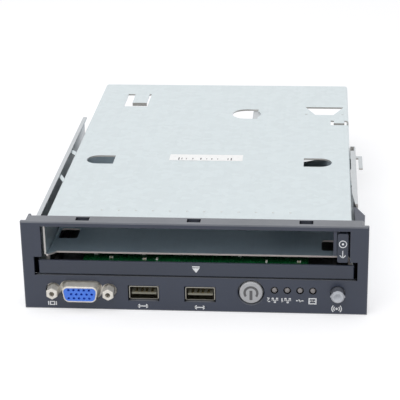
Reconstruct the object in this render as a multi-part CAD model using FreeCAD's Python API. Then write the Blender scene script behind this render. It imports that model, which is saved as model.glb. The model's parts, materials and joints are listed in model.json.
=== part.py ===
"""Front media bay of a rack server: a moulded bezel on a sheet-steel drive cage.

The bezel carries a video socket, two data ports, a power button, four status
lights and an identification button. A display tray slides out of its long window,
and a slim disc drive slides into the bay above the tray.

All sizes are in millimetres. Pieces are drawn with Y = 0 on the bezel's front face,
+Y towards the back and Z = 0 on the surface it stands on. They are moved together
at the end, so that the origin is the middle of the footprint.
"""

import FreeCAD
import Part
import math
import os

V = FreeCAD.Vector

# Bezel
BEZEL_W = 152.0
BEZEL_H = 42.0
FACE_T = 2.2
FACE_BEVEL = 0.5
SKIRT_X = 74.0
SKIRT_TOP = 41.7
SKIRT_DEPTH = 8.0
SKIRT_T = 1.5
SNAP_HOLE_PITCH = 49.0
SNAP_HOLE_W = 6.0
SNAP_HOLE_Y0, SNAP_HOLE_Y1 = 3.2, 6.9
SNAP_SKIN = 0.6
END_WALL_X = 69.6
END_WALL_Y0, END_WALL_Y1 = 5.4, 6.6
END_WALL_Z0, END_WALL_Z1 = 15.0, 27.0
WING_REACH = 27.0
WING_END_X = 69.7
WING_BOTTOM, WING_TOP = 31.6, 39.9
LEFT_GUIDE_REACH = 10.4
LEFT_GUIDE_T = 1.2

# Long window: the tray's wide part below, the drive's part above
WINDOW_LEFT, WINDOW_RIGHT = -70.8, 71.4
WINDOW_BOTTOM = 16.5
WINDOW_STEP = 25.3
BAY_WINDOW_LEFT = -67.2
BAY_WINDOW_RIGHT = 68.0
BAY_WINDOW_TOP = 39.9
POST_LEFT = 60.8
POST_W = 1.4
POST_BOTTOM = 28.3

# Sheet steel
SHEET = 0.8
BEND = 1.5
CAGE_LEFT = -66.35
CAGE_RIGHT = 68.95
CAGE_TOP = 40.4
CAGE_FRONT = 2.3
CAGE_REAR = 200.0
CAGE_WALL_BOTTOM = 17.0
CAGE_DEEP_WALL_REAR = 126.0
CAGE_LOW_EDGE = 32.0
SHELF_TOP = 25.6
SHELF_FRONT = 6.0
SHELF_REAR = 126.0
SHELF_NOTCH = ((-56.5, -40.5, 40.9, 57.9), 117.0)
PAN_LEFT = -71.2
PAN_RIGHT = 71.8
PAN_WALL_TOP = 40.0
PAN_LIP_LEFT, PAN_LIP_RIGHT = 2.2, 2.55
PAN_LIP_REAR = 99.0
TIE_SPANS = ((54.7, 68.5), (90.5, 100.5))
TIE_W = 4.5
PAN_REAR = 145.0
PAN_RIGHT_TALL_REAR = 105.3
PAN_STEP_Z = 22.0
JOGGLE_FRONT = 8.0
JOGGLE_REAR = 11.0

# D-shaped finger holes in the cage's top
D_HOLE_LENGTH = 13.5
D_HOLE_WIDTH = 11.2
REAR_D_HOLE_WIDTH = 15.0

# Front controls, as X and Z on the face
VIDEO_X, VIDEO_Z = -50.3, 9.4
DATA_PORT_X = (-22.5, 2.55)
DATA_PORT_Z = 8.25
POWER_X, POWER_Z = 25.1, 9.9
LIGHT_X, LIGHT_PITCH, LIGHT_Z = 35.4, 5.6, 11.25
LIGHT_COUNT = 4
IDENT_X, IDENT_Z = 63.0, 10.5

# Video socket
JACK_SPACING = 24.99
JACK_HEX = 4.76
JACK_FRONT = -4.8
JACK_HOLE_R = 1.13
JACK_HOLE_DEPTH = 6.0
JACK_STUD_R = 1.5
D_SHELL_W, D_SHELL_H = 16.5, 7.6
D_SHELL_ROUND = 2.5
D_SHELL_FRONT = JACK_FRONT
D_SHELL_T = 0.65
D_ROOT_W, D_ROOT_H, D_ROOT_ROUND = 18.8, 9.0, 3.1
D_ROOT_FRONT = 0.4
D_CUT_W, D_CUT_H, D_CUT_ROUND = 20.6, 9.4, 3.6
FLANGE_W, FLANGE_H, FLANGE_T = 30.8, 12.5, 0.8
PIN_PITCH, PIN_ROW = 2.29, 1.98
PIN_HOLE_R = 0.55

# Data ports
PORT_W, PORT_H, PORT_T = 13.1, 6.3, 0.35
PORT_FRONT, PORT_REAR = 1.2, 13.0
PORT_TONGUE_FRONT = 2.0
PORT_TONGUE_Z0, PORT_TONGUE_Z1 = -1.2, -0.3

# Buttons
POWER_CAP_R, POWER_HOLE_R = 5.1, 5.7
POWER_FRONT = -0.5
IDENT_R, IDENT_HOLE_R = 2.9, 3.3
IDENT_FRONT = -4.6
LIGHT_R, LIGHT_HOLE_R = 1.12, 1.68
LIGHT_FRONT = -0.3

# Boards
BOARD_T = 1.6
BOARD_Z = 2.6
BOARD_TOP = BOARD_Z + BOARD_T
BOARD_X = 67.0
BOARD_FRONT, BOARD_REAR = 4.0, 66.0
SCREW_PLACES = ((-60.0, 30.0), (60.0, 30.0), (-60.0, 60.0), (60.0, 60.0))
SCREW_R = 1.5
BOSS_SIDES = 10
STEM_SIDES = 10

# Display tray
STRIP_LEFT, STRIP_RIGHT = -68.8, 69.9
STRIP_BOTTOM, STRIP_TOP = 17.0, 23.5
STRIP_FRONT, STRIP_BACK = 0.2, 1.5
STRIP_HOOKS = (-50.0, -20.0, 20.0, 50.0)
STRIP_HOOK_Z0, STRIP_HOOK_Z1 = 20.4, 21.4
TRAY_X = 62.4
TRAY_FLOOR_Z = 18.2
TRAY_FLOOR_T = 1.2
TRAY_WALL = 1.6
TRAY_WALL_TOP = 22.4
TRAY_FRONT_T = 1.2
TRAY_REAR = 62.0
RUNNER_Z0, RUNNER_Z1 = 19.6, 20.8
RUNNER_REACH = 1.5
RUNNER_GAP = 0.3
GUIDE_FRONT, GUIDE_REAR = 8.0, 104.0
GUIDE_Z0, GUIDE_Z1 = 18.0, 23.4
DISPLAY_X = 50.0
DISPLAY_FRONT, DISPLAY_REAR = 6.0, 50.0
DISPLAY_Z, DISPLAY_T = 20.0, 1.4

# Drive release slider
TAB_LEFT, TAB_RIGHT = 62.5, 67.2
TAB_BOTTOM, TAB_TOP = 25.0, 38.6
TAB_FRONT, TAB_BACK = 0.3, 2.3
SLIDER_LEFT, SLIDER_RIGHT = 63.4, 66.4
SLIDER_BOTTOM, SLIDER_TOP = SHELF_TOP + 0.05, 35.0
SLIDER_REAR = 44.0
SPRING_LENGTH = 14.0

# Foremost point and rear edge set the origin
ORIGIN_Y = (JACK_FRONT + CAGE_REAR) / 2


# Shape helpers

def slab(x0, x1, y0, y1, z0, z1):
    """A box between two corners."""
    return Part.makeBox(x1 - x0, y1 - y0, z1 - z0, V(x0, y0, z0))


def rod_y(x, z, radius, y0, y1):
    return Part.makeCylinder(radius, y1 - y0, V(x, y0, z), V(0, 1, 0))


def rod_z(x, y, radius, z0, z1):
    return Part.makeCylinder(radius, z1 - z0, V(x, y, z0), V(0, 0, 1))


def prism(points, direction):
    """Straight-sided outline, given as 3D points, pushed along a direction."""
    return Part.Face(Part.makePolygon(points + points[:1])).extrude(direction)


def ring_points(a, b, radius, sides):
    """Corners of a regular outline whose flats touch the given radius."""
    corner = radius / math.cos(math.pi / sides)
    turns = [2 * math.pi * (i + 0.5) / sides for i in range(sides)]
    return [(a + corner * math.cos(t), b + corner * math.sin(t)) for t in turns]


def prism_x(points_yz, x0, x1):
    return prism([V(x0, y, z) for y, z in points_yz], V(x1 - x0, 0, 0))


def prism_y(points_xz, y0, y1):
    return prism([V(x, y0, z) for x, z in points_xz], V(0, y1 - y0, 0))


def prism_z(points_xy, z0, z1):
    return prism([V(x, y, z0) for x, y in points_xy], V(0, 0, z1 - z0))


def round_edges(shape, radius, wanted):
    """Fillets the edges that the test picks."""
    return shape.makeFillet(radius, [e for e in shape.Edges if wanted(e)])


def bevel_edges(shape, size, wanted):
    """Chamfers the edges that the test picks."""
    return shape.makeChamfer(size, [e for e in shape.Edges if wanted(e)])


def runs_along(axis):
    """Test for straight edges parallel to an axis."""
    def test(edge):
        if not isinstance(edge.Curve, (Part.Line, Part.LineSegment)):
            return False
        step = edge.Vertexes[-1].Point - edge.Vertexes[0].Point
        return step.cross(axis).Length < 1e-6 * step.Length
    return test


def at_y(y):
    """Test for edges that lie wholly in the plane Y = y."""
    return lambda edge: all(abs(v.Y - y) < 1e-6 for v in edge.Vertexes)


def fused(first, *others):
    return first.fuse(list(others)).removeSplitter()


def group(solids):
    """Separate like pieces in one node."""
    return Part.makeCompound(list(solids))


# Bezel

def d_prism(width, height, radius, y0, y1):
    """D-connector outline, wide side up, with sides that lean in by 10 degrees."""
    top = width / 2
    bottom = top - height * math.tan(math.radians(10))
    z0, z1 = VIDEO_Z - height / 2, VIDEO_Z + height / 2
    outline = [(VIDEO_X - top, z1), (VIDEO_X + top, z1), (VIDEO_X + bottom, z0), (VIDEO_X - bottom, z0)]
    return round_edges(prism_y(outline, y0, y1), radius, runs_along(V(0, 1, 0)))


def d_wire(width, height, radius, y):
    """The same outline as a wire in the plane Y = y."""
    ends = [f for f in d_prism(width, height, radius, y, y + 1).Faces if at_y(y)(f)]
    return ends[0].OuterWire


def jack_places():
    return [(VIDEO_X + side * JACK_SPACING / 2, VIDEO_Z) for side in (-1, 1)]


def snap_places():
    return [-SNAP_HOLE_PITCH, 0, SNAP_HOLE_PITCH]


def light_places():
    return [(LIGHT_X + i * LIGHT_PITCH, LIGHT_Z) for i in range(LIGHT_COUNT)]


def bezel_openings():
    """Everything that is cut through the bezel's face."""
    y0, y1 = -1.0, FACE_T + 1.0
    step = WINDOW_STEP
    tray_part = slab(WINDOW_LEFT, WINDOW_RIGHT, y0, y1, WINDOW_BOTTOM, step)
    bay_part = slab(BAY_WINDOW_LEFT, BAY_WINDOW_RIGHT, y0, y1, step - 1, BAY_WINDOW_TOP)
    window = fused(tray_part, bay_part)
    post = slab(POST_LEFT, POST_LEFT + POST_W, 0.5, y1, POST_BOTTOM, BAY_WINDOW_TOP + 1)
    clearance = 1.1
    cuts = [window.cut(post)]
    cuts.append(d_prism(D_CUT_W, D_CUT_H, D_CUT_ROUND, y0, y1))
    cuts += [rod_y(x, z, JACK_HEX / 2 + clearance, y0, y1) for x, z in jack_places()]
    for x in DATA_PORT_X:
        half = PORT_W / 2 + 0.4
        cuts.append(slab(x - half, x + half, y0, y1, DATA_PORT_Z - 3.5, DATA_PORT_Z + 3.95))
    cuts.append(rod_y(POWER_X, POWER_Z, POWER_HOLE_R, y0, SKIRT_DEPTH))
    cuts.append(Part.makeCone(POWER_HOLE_R + 0.5, POWER_HOLE_R, 0.5, V(POWER_X, 0, POWER_Z), V(0, 1, 0)))
    cuts.append(rod_y(IDENT_X, IDENT_Z, IDENT_HOLE_R, y0, y1))
    cuts += [rod_y(x, z, LIGHT_HOLE_R, y0, y1) for x, z in light_places()]
    return cuts


def snap_hole(x, reach_x, y0, y1, z0, z1):
    """A block at one snap hole, a little wider than the hole itself."""
    half = SNAP_HOLE_W / 2 + reach_x
    return slab(x - half, x + half, y0, y1, z0, z1)


def end_wall(side):
    """Wall behind one end of the tray's window, which closes the view past the strip."""
    x0, x1 = sorted((side * END_WALL_X, side * (SKIRT_X - SKIRT_T / 2)))
    return slab(x0, x1, END_WALL_Y0, END_WALL_Y1, END_WALL_Z0, END_WALL_Z1)


def right_wing():
    """Wall that runs back from the skirt's right side, turned in behind the pan's wall and webbed at its top."""
    elbow_y = 18.0
    thick = 1.1
    outline = [
        (SKIRT_X - SKIRT_T, SKIRT_DEPTH), (SKIRT_X, SKIRT_DEPTH), (SKIRT_X + 0.6, elbow_y),
        (WING_END_X + thick, WING_REACH + 0.5), (WING_END_X, WING_REACH), (SKIRT_X - 0.6, elbow_y - 0.5),
    ]
    web = [
        (WING_END_X + 0.6, SKIRT_DEPTH), (SKIRT_X - 0.8, SKIRT_DEPTH), (SKIRT_X, elbow_y - 0.2),
        (WING_END_X + 0.6, WING_REACH), (WING_END_X + 0.2, WING_REACH - 0.5),
    ]
    return fused(prism_z(outline, WING_BOTTOM, WING_TOP), prism_z(web, WING_TOP - thick, WING_TOP))


def bezel():
    half = BEZEL_W / 2
    face = slab(-half, half, 0, FACE_T, 0, BEZEL_H)
    face = bevel_edges(face, FACE_BEVEL, at_y(0))
    skirt = slab(-SKIRT_X, SKIRT_X, FACE_T, SKIRT_DEPTH, 0, SKIRT_TOP)
    skirt = round_edges(skirt, 1.0, runs_along(V(0, 1, 0)))
    inner_x = SKIRT_X - SKIRT_T
    skirt = skirt.cut(slab(-inner_x, inner_x, FACE_T, SKIRT_DEPTH, SKIRT_T, CAGE_TOP))
    button_boss = rod_y(POWER_X, POWER_Z, POWER_HOLE_R + 1.0, FACE_T, FACE_T + 1.6)
    left_guide = slab(-SKIRT_X, -SKIRT_X + LEFT_GUIDE_T, FACE_T, LEFT_GUIDE_REACH, SKIRT_T, SKIRT_TOP - 0.2)
    body = fused(face, skirt, button_boss, right_wing(), left_guide, end_wall(-1), end_wall(1))
    holes = [snap_hole(x, 0, SNAP_HOLE_Y0, SNAP_HOLE_Y1, CAGE_TOP - 1, BEZEL_H) for x in snap_places()]
    pockets = [
        snap_hole(x, 0.6, FACE_T, SNAP_HOLE_Y1, CAGE_TOP - 1, SKIRT_TOP - SNAP_SKIN) for x in snap_places()
    ]
    catches = [
        snap_hole(x, 0.6, SNAP_HOLE_Y1, SNAP_HOLE_Y1 + 0.5, CAGE_TOP - SHEET - 0.1, SKIRT_TOP - SNAP_SKIN)
        for x in snap_places()
    ]
    return fused(body.cut(bezel_openings() + holes + pockets), *catches)


# Sheet-steel cage, shelf and pan

def channel(x0, x1, y0, y1, z0, z1, open_side):
    """Folded U of sheet with rounded bends; open_side is 'down' or 'up'."""
    over = 5.0
    z_low, z_high = (z0 - over, z1) if open_side == "down" else (z0, z1 + over)
    outer = slab(x0, x1, y0, y1, z_low, z_high)
    inner = slab(x0 + SHEET, x1 - SHEET, y0, y1, z_low, z_high - SHEET)
    bend_z = z_high
    if open_side == "up":
        inner = slab(x0 + SHEET, x1 - SHEET, y0, y1, z_low + SHEET, z_high)
        bend_z = z_low
    along_y = runs_along(V(0, 1, 0))
    outer = round_edges(outer, BEND, lambda e: along_y(e) and abs(e.Vertexes[0].Z - bend_z) < 1e-6)
    inner_z = bend_z - SHEET if open_side == "down" else bend_z + SHEET
    inner = round_edges(inner, BEND - SHEET, lambda e: along_y(e) and abs(e.Vertexes[0].Z - inner_z) < 1e-6)
    trim = slab(x0, x1, y0, y1, z0, z1)
    return outer.cut(inner).common(trim)


def d_hole(flat_x, y, pointing, width=D_HOLE_WIDTH):
    """Finger hole with one flat end and one round end, through the cage's top."""
    radius = width / 2
    centre = flat_x + pointing * (D_HOLE_LENGTH - radius)
    z0, z1 = CAGE_TOP - SHEET - 1, CAGE_TOP + 1
    body = slab(min(flat_x, centre), max(flat_x, centre), y - radius, y + radius, z0, z1)
    return fused(body, rod_z(centre, y, radius, z0, z1))


def cage_top_cuts():
    z0, z1 = CAGE_TOP - BEND - 0.6, CAGE_TOP + 1
    cuts = [d_hole(-45.5, 81.6, -1), d_hole(46.6, 81.0, 1)]
    cuts.append(d_hole(21.4, 151.4, -1, REAR_D_HOLE_WIDTH))
    cuts.append(slab(-51.5, -38.7, 162.2, 183.0, z0, z1))
    cuts.append(prism_z([(51.6, 151.2), (61.0, 151.2), (66.4, 163.6), (46.3, 163.6)], z0, z1))
    cuts += [slab(x, x + 1.3, 151.4, 152.0, z0, z1) for x in (46.2, 65.2)]
    cuts.append(slab(59.6, CAGE_RIGHT + 1, 135.4, 142.3, z0, z1))
    return cuts


def cage_tongues():
    """Tongues left standing in the rear windows, with their tips bent straight down."""
    z = CAGE_TOP
    places = ((183.0, 169.0, 0.3, 2.1, -47.7, -39.9), (142.3, 138.5, 0.1, 1.2, 61.2, 66.7))
    return [
        prism_x(
            [(root, z), (tip, z - sunk), (tip, z - drop), (tip + SHEET, z - drop),
             (tip + SHEET, z - sunk - SHEET), (root, z - SHEET)],
            x0, x1,
        )
        for root, tip, sunk, drop, x0, x1 in places
    ]


def cage_ties(side):
    """Lanced tabs that reach back from the cage's wall to the pan's wall."""
    wall_x, pan_x = (CAGE_LEFT, PAN_LEFT + SHEET) if side < 0 else (CAGE_RIGHT, PAN_RIGHT - SHEET)
    root_x = wall_x - side * SHEET
    top = CAGE_TOP - BEND
    return [
        prism_z(
            [(root_x, y0), (wall_x, y0), (pan_x, y1 - TIE_W), (pan_x, y1), (wall_x, y0 + TIE_W),
             (root_x, y0 + TIE_W)],
            top - SHEET, top,
        )
        for y0, y1 in TIE_SPANS
    ]


def cage_tie_windows(side):
    """Windows that the lanced tabs were bent out of."""
    wall_x = CAGE_LEFT if side < 0 else CAGE_RIGHT
    top = CAGE_TOP - BEND - SHEET
    return [slab(wall_x - 1, wall_x + 1, y0, y1, top - 4.0, top) for y0, y1 in TIE_SPANS]


def drive_cage():
    shell = channel(CAGE_LEFT, CAGE_RIGHT, CAGE_FRONT, CAGE_REAR, CAGE_WALL_BOTTOM, CAGE_TOP, "down")
    over = 2.0
    behind = prism_x(
        [(CAGE_DEEP_WALL_REAR, 0), (CAGE_REAR + over, 0), (CAGE_REAR + over, CAGE_LOW_EDGE),
         (CAGE_DEEP_WALL_REAR + 10, CAGE_LOW_EDGE), (CAGE_DEEP_WALL_REAR, CAGE_LOW_EDGE - 10)],
        CAGE_LEFT - over, CAGE_RIGHT + over,
    )
    under_window = slab(CAGE_LEFT - over, CAGE_RIGHT + over, 0, SHELF_FRONT + 0.5, 0, SHELF_TOP)
    notches = [snap_hole(x, 1, 0, SKIRT_DEPTH - 0.4, CAGE_TOP - BEND, CAGE_TOP + 1) for x in snap_places()]
    windows = cage_tie_windows(-1) + cage_tie_windows(1)
    shell = shell.cut([behind, under_window] + notches + cage_top_cuts() + windows)
    return fused(shell, *(cage_tongues() + cage_ties(-1) + cage_ties(1)))


def shelf_edges():
    return CAGE_LEFT + SHEET, CAGE_RIGHT - SHEET


def drive_shelf():
    left, right = shelf_edges()
    body = channel(left, right, SHELF_FRONT, SHELF_REAR, CAGE_WALL_BOTTOM, SHELF_TOP, "down")
    corner = prism_z(
        [(left, CAGE_FRONT + 0.1), (left + 0.8, CAGE_FRONT + 0.1), (-61.5, SHELF_FRONT), (left, SHELF_FRONT)],
        SHELF_TOP - SHEET, SHELF_TOP,
    )
    corner_back = slab(left, left + BEND, SHELF_FRONT, SHELF_FRONT + 3, SHELF_TOP - SHEET, SHELF_TOP)
    body = fused(body, corner, corner_back)
    z0, z1 = SHELF_TOP - SHEET - 1, SHELF_TOP + 1
    latch_window = slab(55.7, 62.3, 11.4, 22.6, z0, z1)
    left_window = slab(-63.4, -54.6, 20.0, 31.0, z0, z1)
    windows = [round_edges(w, 1.4, runs_along(V(0, 0, 1))) for w in (latch_window, left_window)]
    (rear_left, inner_left, inner_right, rear_right), notch_y = SHELF_NOTCH
    past = SHELF_REAR + 1
    windows.append(
        prism_z([(rear_left, past), (inner_left, notch_y), (inner_right, notch_y), (rear_right, past)], z0, z1)
    )
    stop_y = SLIDER_REAR + SPRING_LENGTH
    stop = slab(SLIDER_LEFT, SLIDER_RIGHT, stop_y, stop_y + SHEET, SHELF_TOP - SHEET, 33.0)
    return fused(body.cut(windows), stop, slider_guide())


def slider_guide():
    """Lanced hook on the shelf that holds the release slider's stem down and in line."""
    gap = 0.2
    post_x = SLIDER_LEFT - gap
    hood_z = SLIDER_TOP + gap
    y0, y1 = SLIDER_REAR - 7.0, SLIDER_REAR - 1.0
    post = slab(post_x - SHEET, post_x, y0, y1, SHELF_TOP - SHEET, hood_z + SHEET)
    hood = slab(post_x - SHEET, SLIDER_RIGHT, y0, y1, hood_z, hood_z + SHEET)
    return fused(post, hood)


def base_pan():
    body = channel(PAN_LEFT, PAN_RIGHT, JOGGLE_REAR, PAN_REAR, 0, PAN_WALL_TOP, "up")
    front_y = CAGE_FRONT + 0.1
    tongue_x = 62.0
    tongue_z = SKIRT_T
    tongue = prism_x(
        [(front_y, tongue_z), (JOGGLE_FRONT, tongue_z), (JOGGLE_REAR, 0), (JOGGLE_REAR + 2, 0),
         (JOGGLE_REAR + 2, SHEET), (JOGGLE_REAR + 0.4, SHEET), (JOGGLE_FRONT + 0.4, tongue_z + SHEET),
         (front_y, tongue_z + SHEET)],
        -tongue_x, tongue_x,
    )
    wall_front = [
        slab(x, x + SHEET, front_y, JOGGLE_REAR + 1, 4.0, PAN_WALL_TOP)
        for x in (PAN_LEFT, PAN_RIGHT - SHEET)
    ]
    lip_front, lip_edge = WING_REACH + 4, PAN_RIGHT - PAN_LIP_RIGHT
    right_lip = prism_z(
        [(PAN_RIGHT, lip_front), (PAN_RIGHT, PAN_LIP_REAR), (lip_edge, PAN_LIP_REAR),
         (lip_edge, lip_front + 13), (lip_edge + 1.2, lip_front)],
        PAN_WALL_TOP - SHEET, PAN_WALL_TOP,
    )
    left_lip = slab(PAN_LEFT, PAN_LEFT + PAN_LIP_LEFT, front_y, PAN_REAR, PAN_WALL_TOP - SHEET, PAN_WALL_TOP)
    end_flange = slab(
        lip_edge, PAN_RIGHT, PAN_RIGHT_TALL_REAR - SHEET, PAN_RIGHT_TALL_REAR, PAN_STEP_Z + 6, PAN_WALL_TOP
    )
    hook_z = PAN_WALL_TOP - 3.0
    hook = prism_z(
        [(PAN_RIGHT - SHEET, 97.4), (PAN_RIGHT + 3.2, 97.4), (PAN_RIGHT + 3.2, 80.8), (PAN_RIGHT + 1.3, 80.8),
         (PAN_RIGHT + 1.3, 94.6), (PAN_RIGHT - SHEET, 94.6)],
        hook_z, hook_z + SHEET,
    )
    bosses = [prism_z(ring_points(x, y, 3.0, BOSS_SIDES), SHEET, BOARD_Z) for x, y in SCREW_PLACES]
    body = fused(body, tongue, left_lip, right_lip, hook, end_flange, *(wall_front + bosses))
    body = round_edges(body, 0.7, pan_lip_edges)
    right_low = prism_x(
        [(PAN_RIGHT_TALL_REAR, PAN_WALL_TOP + 1), (PAN_RIGHT_TALL_REAR, PAN_STEP_Z + 6),
         (PAN_RIGHT_TALL_REAR + 6, PAN_STEP_Z), (PAN_REAR + 1, PAN_STEP_Z), (PAN_REAR + 1, PAN_WALL_TOP + 1)],
        PAN_RIGHT - 4, PAN_RIGHT + 1,
    )
    right_front = slab(PAN_RIGHT - SHEET - 1, PAN_RIGHT + 1, 0, WING_REACH + 4, 31.0, PAN_WALL_TOP + 1)
    strip_notch = slab(
        PAN_LEFT - 1, PAN_RIGHT + 1, 0, END_WALL_Y1 + 0.6, END_WALL_Z0 - 0.6, END_WALL_Z1 + 0.6
    )
    vents = [
        slab(x - 9, x + 9, y - 2, y + 2, -1, SHEET + 1)
        for x in (-44.0, -15.0, 15.0, 44.0) for y in (92.0, 102.0, 112.0, 122.0)
    ]
    threads = [prism_z(ring_points(x, y, SCREW_R, BOSS_SIDES), -1, BOARD_Z + 1) for x, y in SCREW_PLACES]
    return body.cut([right_low, right_front, strip_notch] + vents + threads)


def pan_lip_edges(edge):
    """The outer top edges of the pan's walls, where the lips are bent over."""
    if not runs_along(V(0, 1, 0))(edge):
        return False
    x, z = edge.Vertexes[0].X, edge.Vertexes[0].Z
    return abs(z - PAN_WALL_TOP) < 1e-6 and (abs(x - PAN_LEFT) < 1e-6 or abs(x - PAN_RIGHT) < 1e-6)


# Video socket

def video_shell():
    x, z = VIDEO_X, VIDEO_Z
    y1 = FACE_T + FLANGE_T
    plate = slab(x - FLANGE_W / 2, x + FLANGE_W / 2, FACE_T, y1, z - FLANGE_H / 2, z + FLANGE_H / 2)
    plate = round_edges(plate, 1.5, runs_along(V(0, 1, 0)))
    tube = d_prism(D_SHELL_W, D_SHELL_H, D_SHELL_ROUND, D_SHELL_FRONT, y1)
    tube = bevel_edges(tube, 0.35, at_y(D_SHELL_FRONT))
    fit = 2 * D_SHELL_T
    bore = d_prism(D_SHELL_W - fit, D_SHELL_H - fit, D_SHELL_ROUND - D_SHELL_T, D_SHELL_FRONT - 1, y1 + 1)
    root_back = d_wire(D_ROOT_W, D_ROOT_H, D_ROOT_ROUND, FACE_T)
    root_front = d_wire(D_SHELL_W - 0.2, D_SHELL_H - 0.2, D_SHELL_ROUND - 0.1, D_ROOT_FRONT)
    root = Part.makeLoft([root_back, root_front], True, True)
    legs = [
        slab(px - 2.2, px + 2.2, y1, 9.0, BOARD_TOP, BOARD_TOP + 0.8) for px, _ in jack_places()
    ]
    webs = [slab(px - 2.2, px + 2.2, FACE_T, y1, BOARD_TOP - 1, BOARD_TOP + 0.8) for px, _ in jack_places()]
    holes = [
        prism_y(ring_points(px, pz, JACK_STUD_R + 0.1, BOSS_SIDES), 0, y1 + 1) for px, pz in jack_places()
    ]
    return fused(plate, root, tube, *(legs + webs)).cut([bore] + holes)


def video_pin_places():
    """Three rows of five; the middle row is offset by half a pitch."""
    shift = PIN_PITCH / 2
    places = []
    for row in (-1, 0, 1):
        offset = shift * 2 / 3 if row == 0 else -shift / 3
        places += [
            (VIDEO_X + offset + i * PIN_PITCH, VIDEO_Z - row * PIN_ROW) for i in (-2, -1, 0, 1, 2)
        ]
    return places


def video_insulator():
    front = D_SHELL_FRONT + 0.35
    fit = 2 * D_SHELL_T
    plug = d_prism(D_SHELL_W - fit, D_SHELL_H - fit, D_SHELL_ROUND - D_SHELL_T, front, FACE_T + FLANGE_T)
    body = slab(VIDEO_X - 9.6, VIDEO_X + 9.6, FACE_T + FLANGE_T, 14.0, BOARD_TOP, VIDEO_Z + 5.4)
    body = bevel_edges(body, 0.8, runs_along(V(1, 0, 0)))
    holes = [prism_y(ring_points(x, z, PIN_HOLE_R, 8), front - 1, 2.0) for x, z in video_pin_places()]
    return fused(plug, body).cut(holes)


def video_contacts():
    w = 0.3
    return group(slab(x - w, x + w, -1.4, 2.0, z - w, z + w) for x, z in video_pin_places())


def jackscrew(x, z):
    """Hex standoff with a threaded hole, screwed through the socket's flange."""
    body = prism_y(ring_points(x, z, JACK_HEX / 2, 6), JACK_FRONT, FACE_T)
    body = bevel_edges(body, 0.35, at_y(JACK_FRONT))
    stud = prism_y(ring_points(x, z, JACK_STUD_R, BOSS_SIDES), FACE_T, 7.5)
    hole = rod_y(x, z, JACK_HOLE_R, JACK_FRONT - 1, JACK_FRONT + JACK_HOLE_DEPTH)
    return fused(body, stud).cut(hole)


def jackscrews():
    return group(jackscrew(x, z) for x, z in jack_places())


# Data ports

def data_port_shell(x):
    z = DATA_PORT_Z
    w, h = PORT_W / 2, PORT_H / 2
    along_y = runs_along(V(0, 1, 0))
    outer = bevel_edges(slab(x - w, x + w, PORT_FRONT, PORT_REAR, z - h, z + h), 0.5, along_y)
    w, h = w - PORT_T, h - PORT_T
    bore = bevel_edges(slab(x - w, x + w, PORT_FRONT - 1, PORT_REAR + 1, z - h, z + h), 0.3, along_y)
    spring_slots = [
        slab(x + s * 3.4 - 1.1, x + s * 3.4 + 1.1, 3.4, 8.4, z + h - 0.2, z + h + 1) for s in (-1, 1)
    ]
    legs = [
        slab(x + s * (PORT_W / 2 - 0.2) - 0.2, x + s * (PORT_W / 2 - 0.2) + 0.2, y, y + 2.2, BOARD_TOP, z - 1.5)
        for s in (-1, 1) for y in (5.0, 10.4)
    ]
    low, high, dip = z + h, z + h + PORT_T, 0.7
    bow = [(3.6, low), (3.6, high), (5.6, high - dip), (8.4, high), (8.4, low), (5.6, low - dip)]
    springs = [prism_x(bow, x + s * 3.4 - 0.8, x + s * 3.4 + 0.8) for s in (-1, 1)]
    shell = outer.cut([bore] + spring_slots)
    return fused(shell, *(legs + springs)).cut(bore_keep_clear(x, z))


def bore_keep_clear(x, z):
    """The space of the tongue block, which the shell's legs stay out of."""
    w, h = PORT_W / 2 - PORT_T, PORT_H / 2 - PORT_T
    return slab(x - w, x + w, PORT_FRONT - 1, PORT_REAR + 1, z - h, z + h - 1.2)


def data_port_insulator(x):
    z = DATA_PORT_Z
    w, h = PORT_W / 2 - PORT_T, PORT_H / 2 - PORT_T
    block = bevel_edges(slab(x - w, x + w, 9.4, PORT_REAR, z - h, z + h), 0.3, runs_along(V(0, 1, 0)))
    tongue = slab(x - 5.55, x + 5.55, PORT_TONGUE_FRONT, 9.4, z + PORT_TONGUE_Z0, z + PORT_TONGUE_Z1)
    tongue = bevel_edges(tongue, 0.15, at_y(PORT_TONGUE_FRONT))
    return fused(block, tongue)


def data_port_contacts(x):
    """Four flat springs on the tongue, each with a sloped front end."""
    z = DATA_PORT_Z + PORT_TONGUE_Z1
    t = 0.18
    front = PORT_TONGUE_FRONT + 0.6
    strip = [(front, z), (9.4, z), (9.4, z + t), (front + t, z + t)]
    return group(prism_x(strip, x + dx - 0.5, x + dx + 0.5) for dx in (-3.5, -1.0, 1.0, 3.5))


# Buttons, lights and their switches

def power_button():
    cap = rod_y(POWER_X, POWER_Z, POWER_CAP_R, POWER_FRONT, 4.6)
    cap = bevel_edges(cap, 0.4, lambda e: e.Closed and at_y(POWER_FRONT)(e))
    hollow = prism_y(ring_points(POWER_X, POWER_Z, POWER_CAP_R - 1.2, 16), 1.4, 4.6)
    stem = prism_y(ring_points(POWER_X, POWER_Z, 1.6, STEM_SIDES), 1.4, 9.4)
    lug = slab(POWER_X - 6.5, POWER_X - 4.6, 4.0, 4.6, POWER_Z - 1.8, POWER_Z + 1.8)
    lug_right = slab(POWER_X + 4.6, POWER_X + 6.5, 4.0, 4.6, POWER_Z - 1.8, POWER_Z + 1.8)
    return fused(cap.cut(hollow), stem, lug, lug_right)


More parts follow.
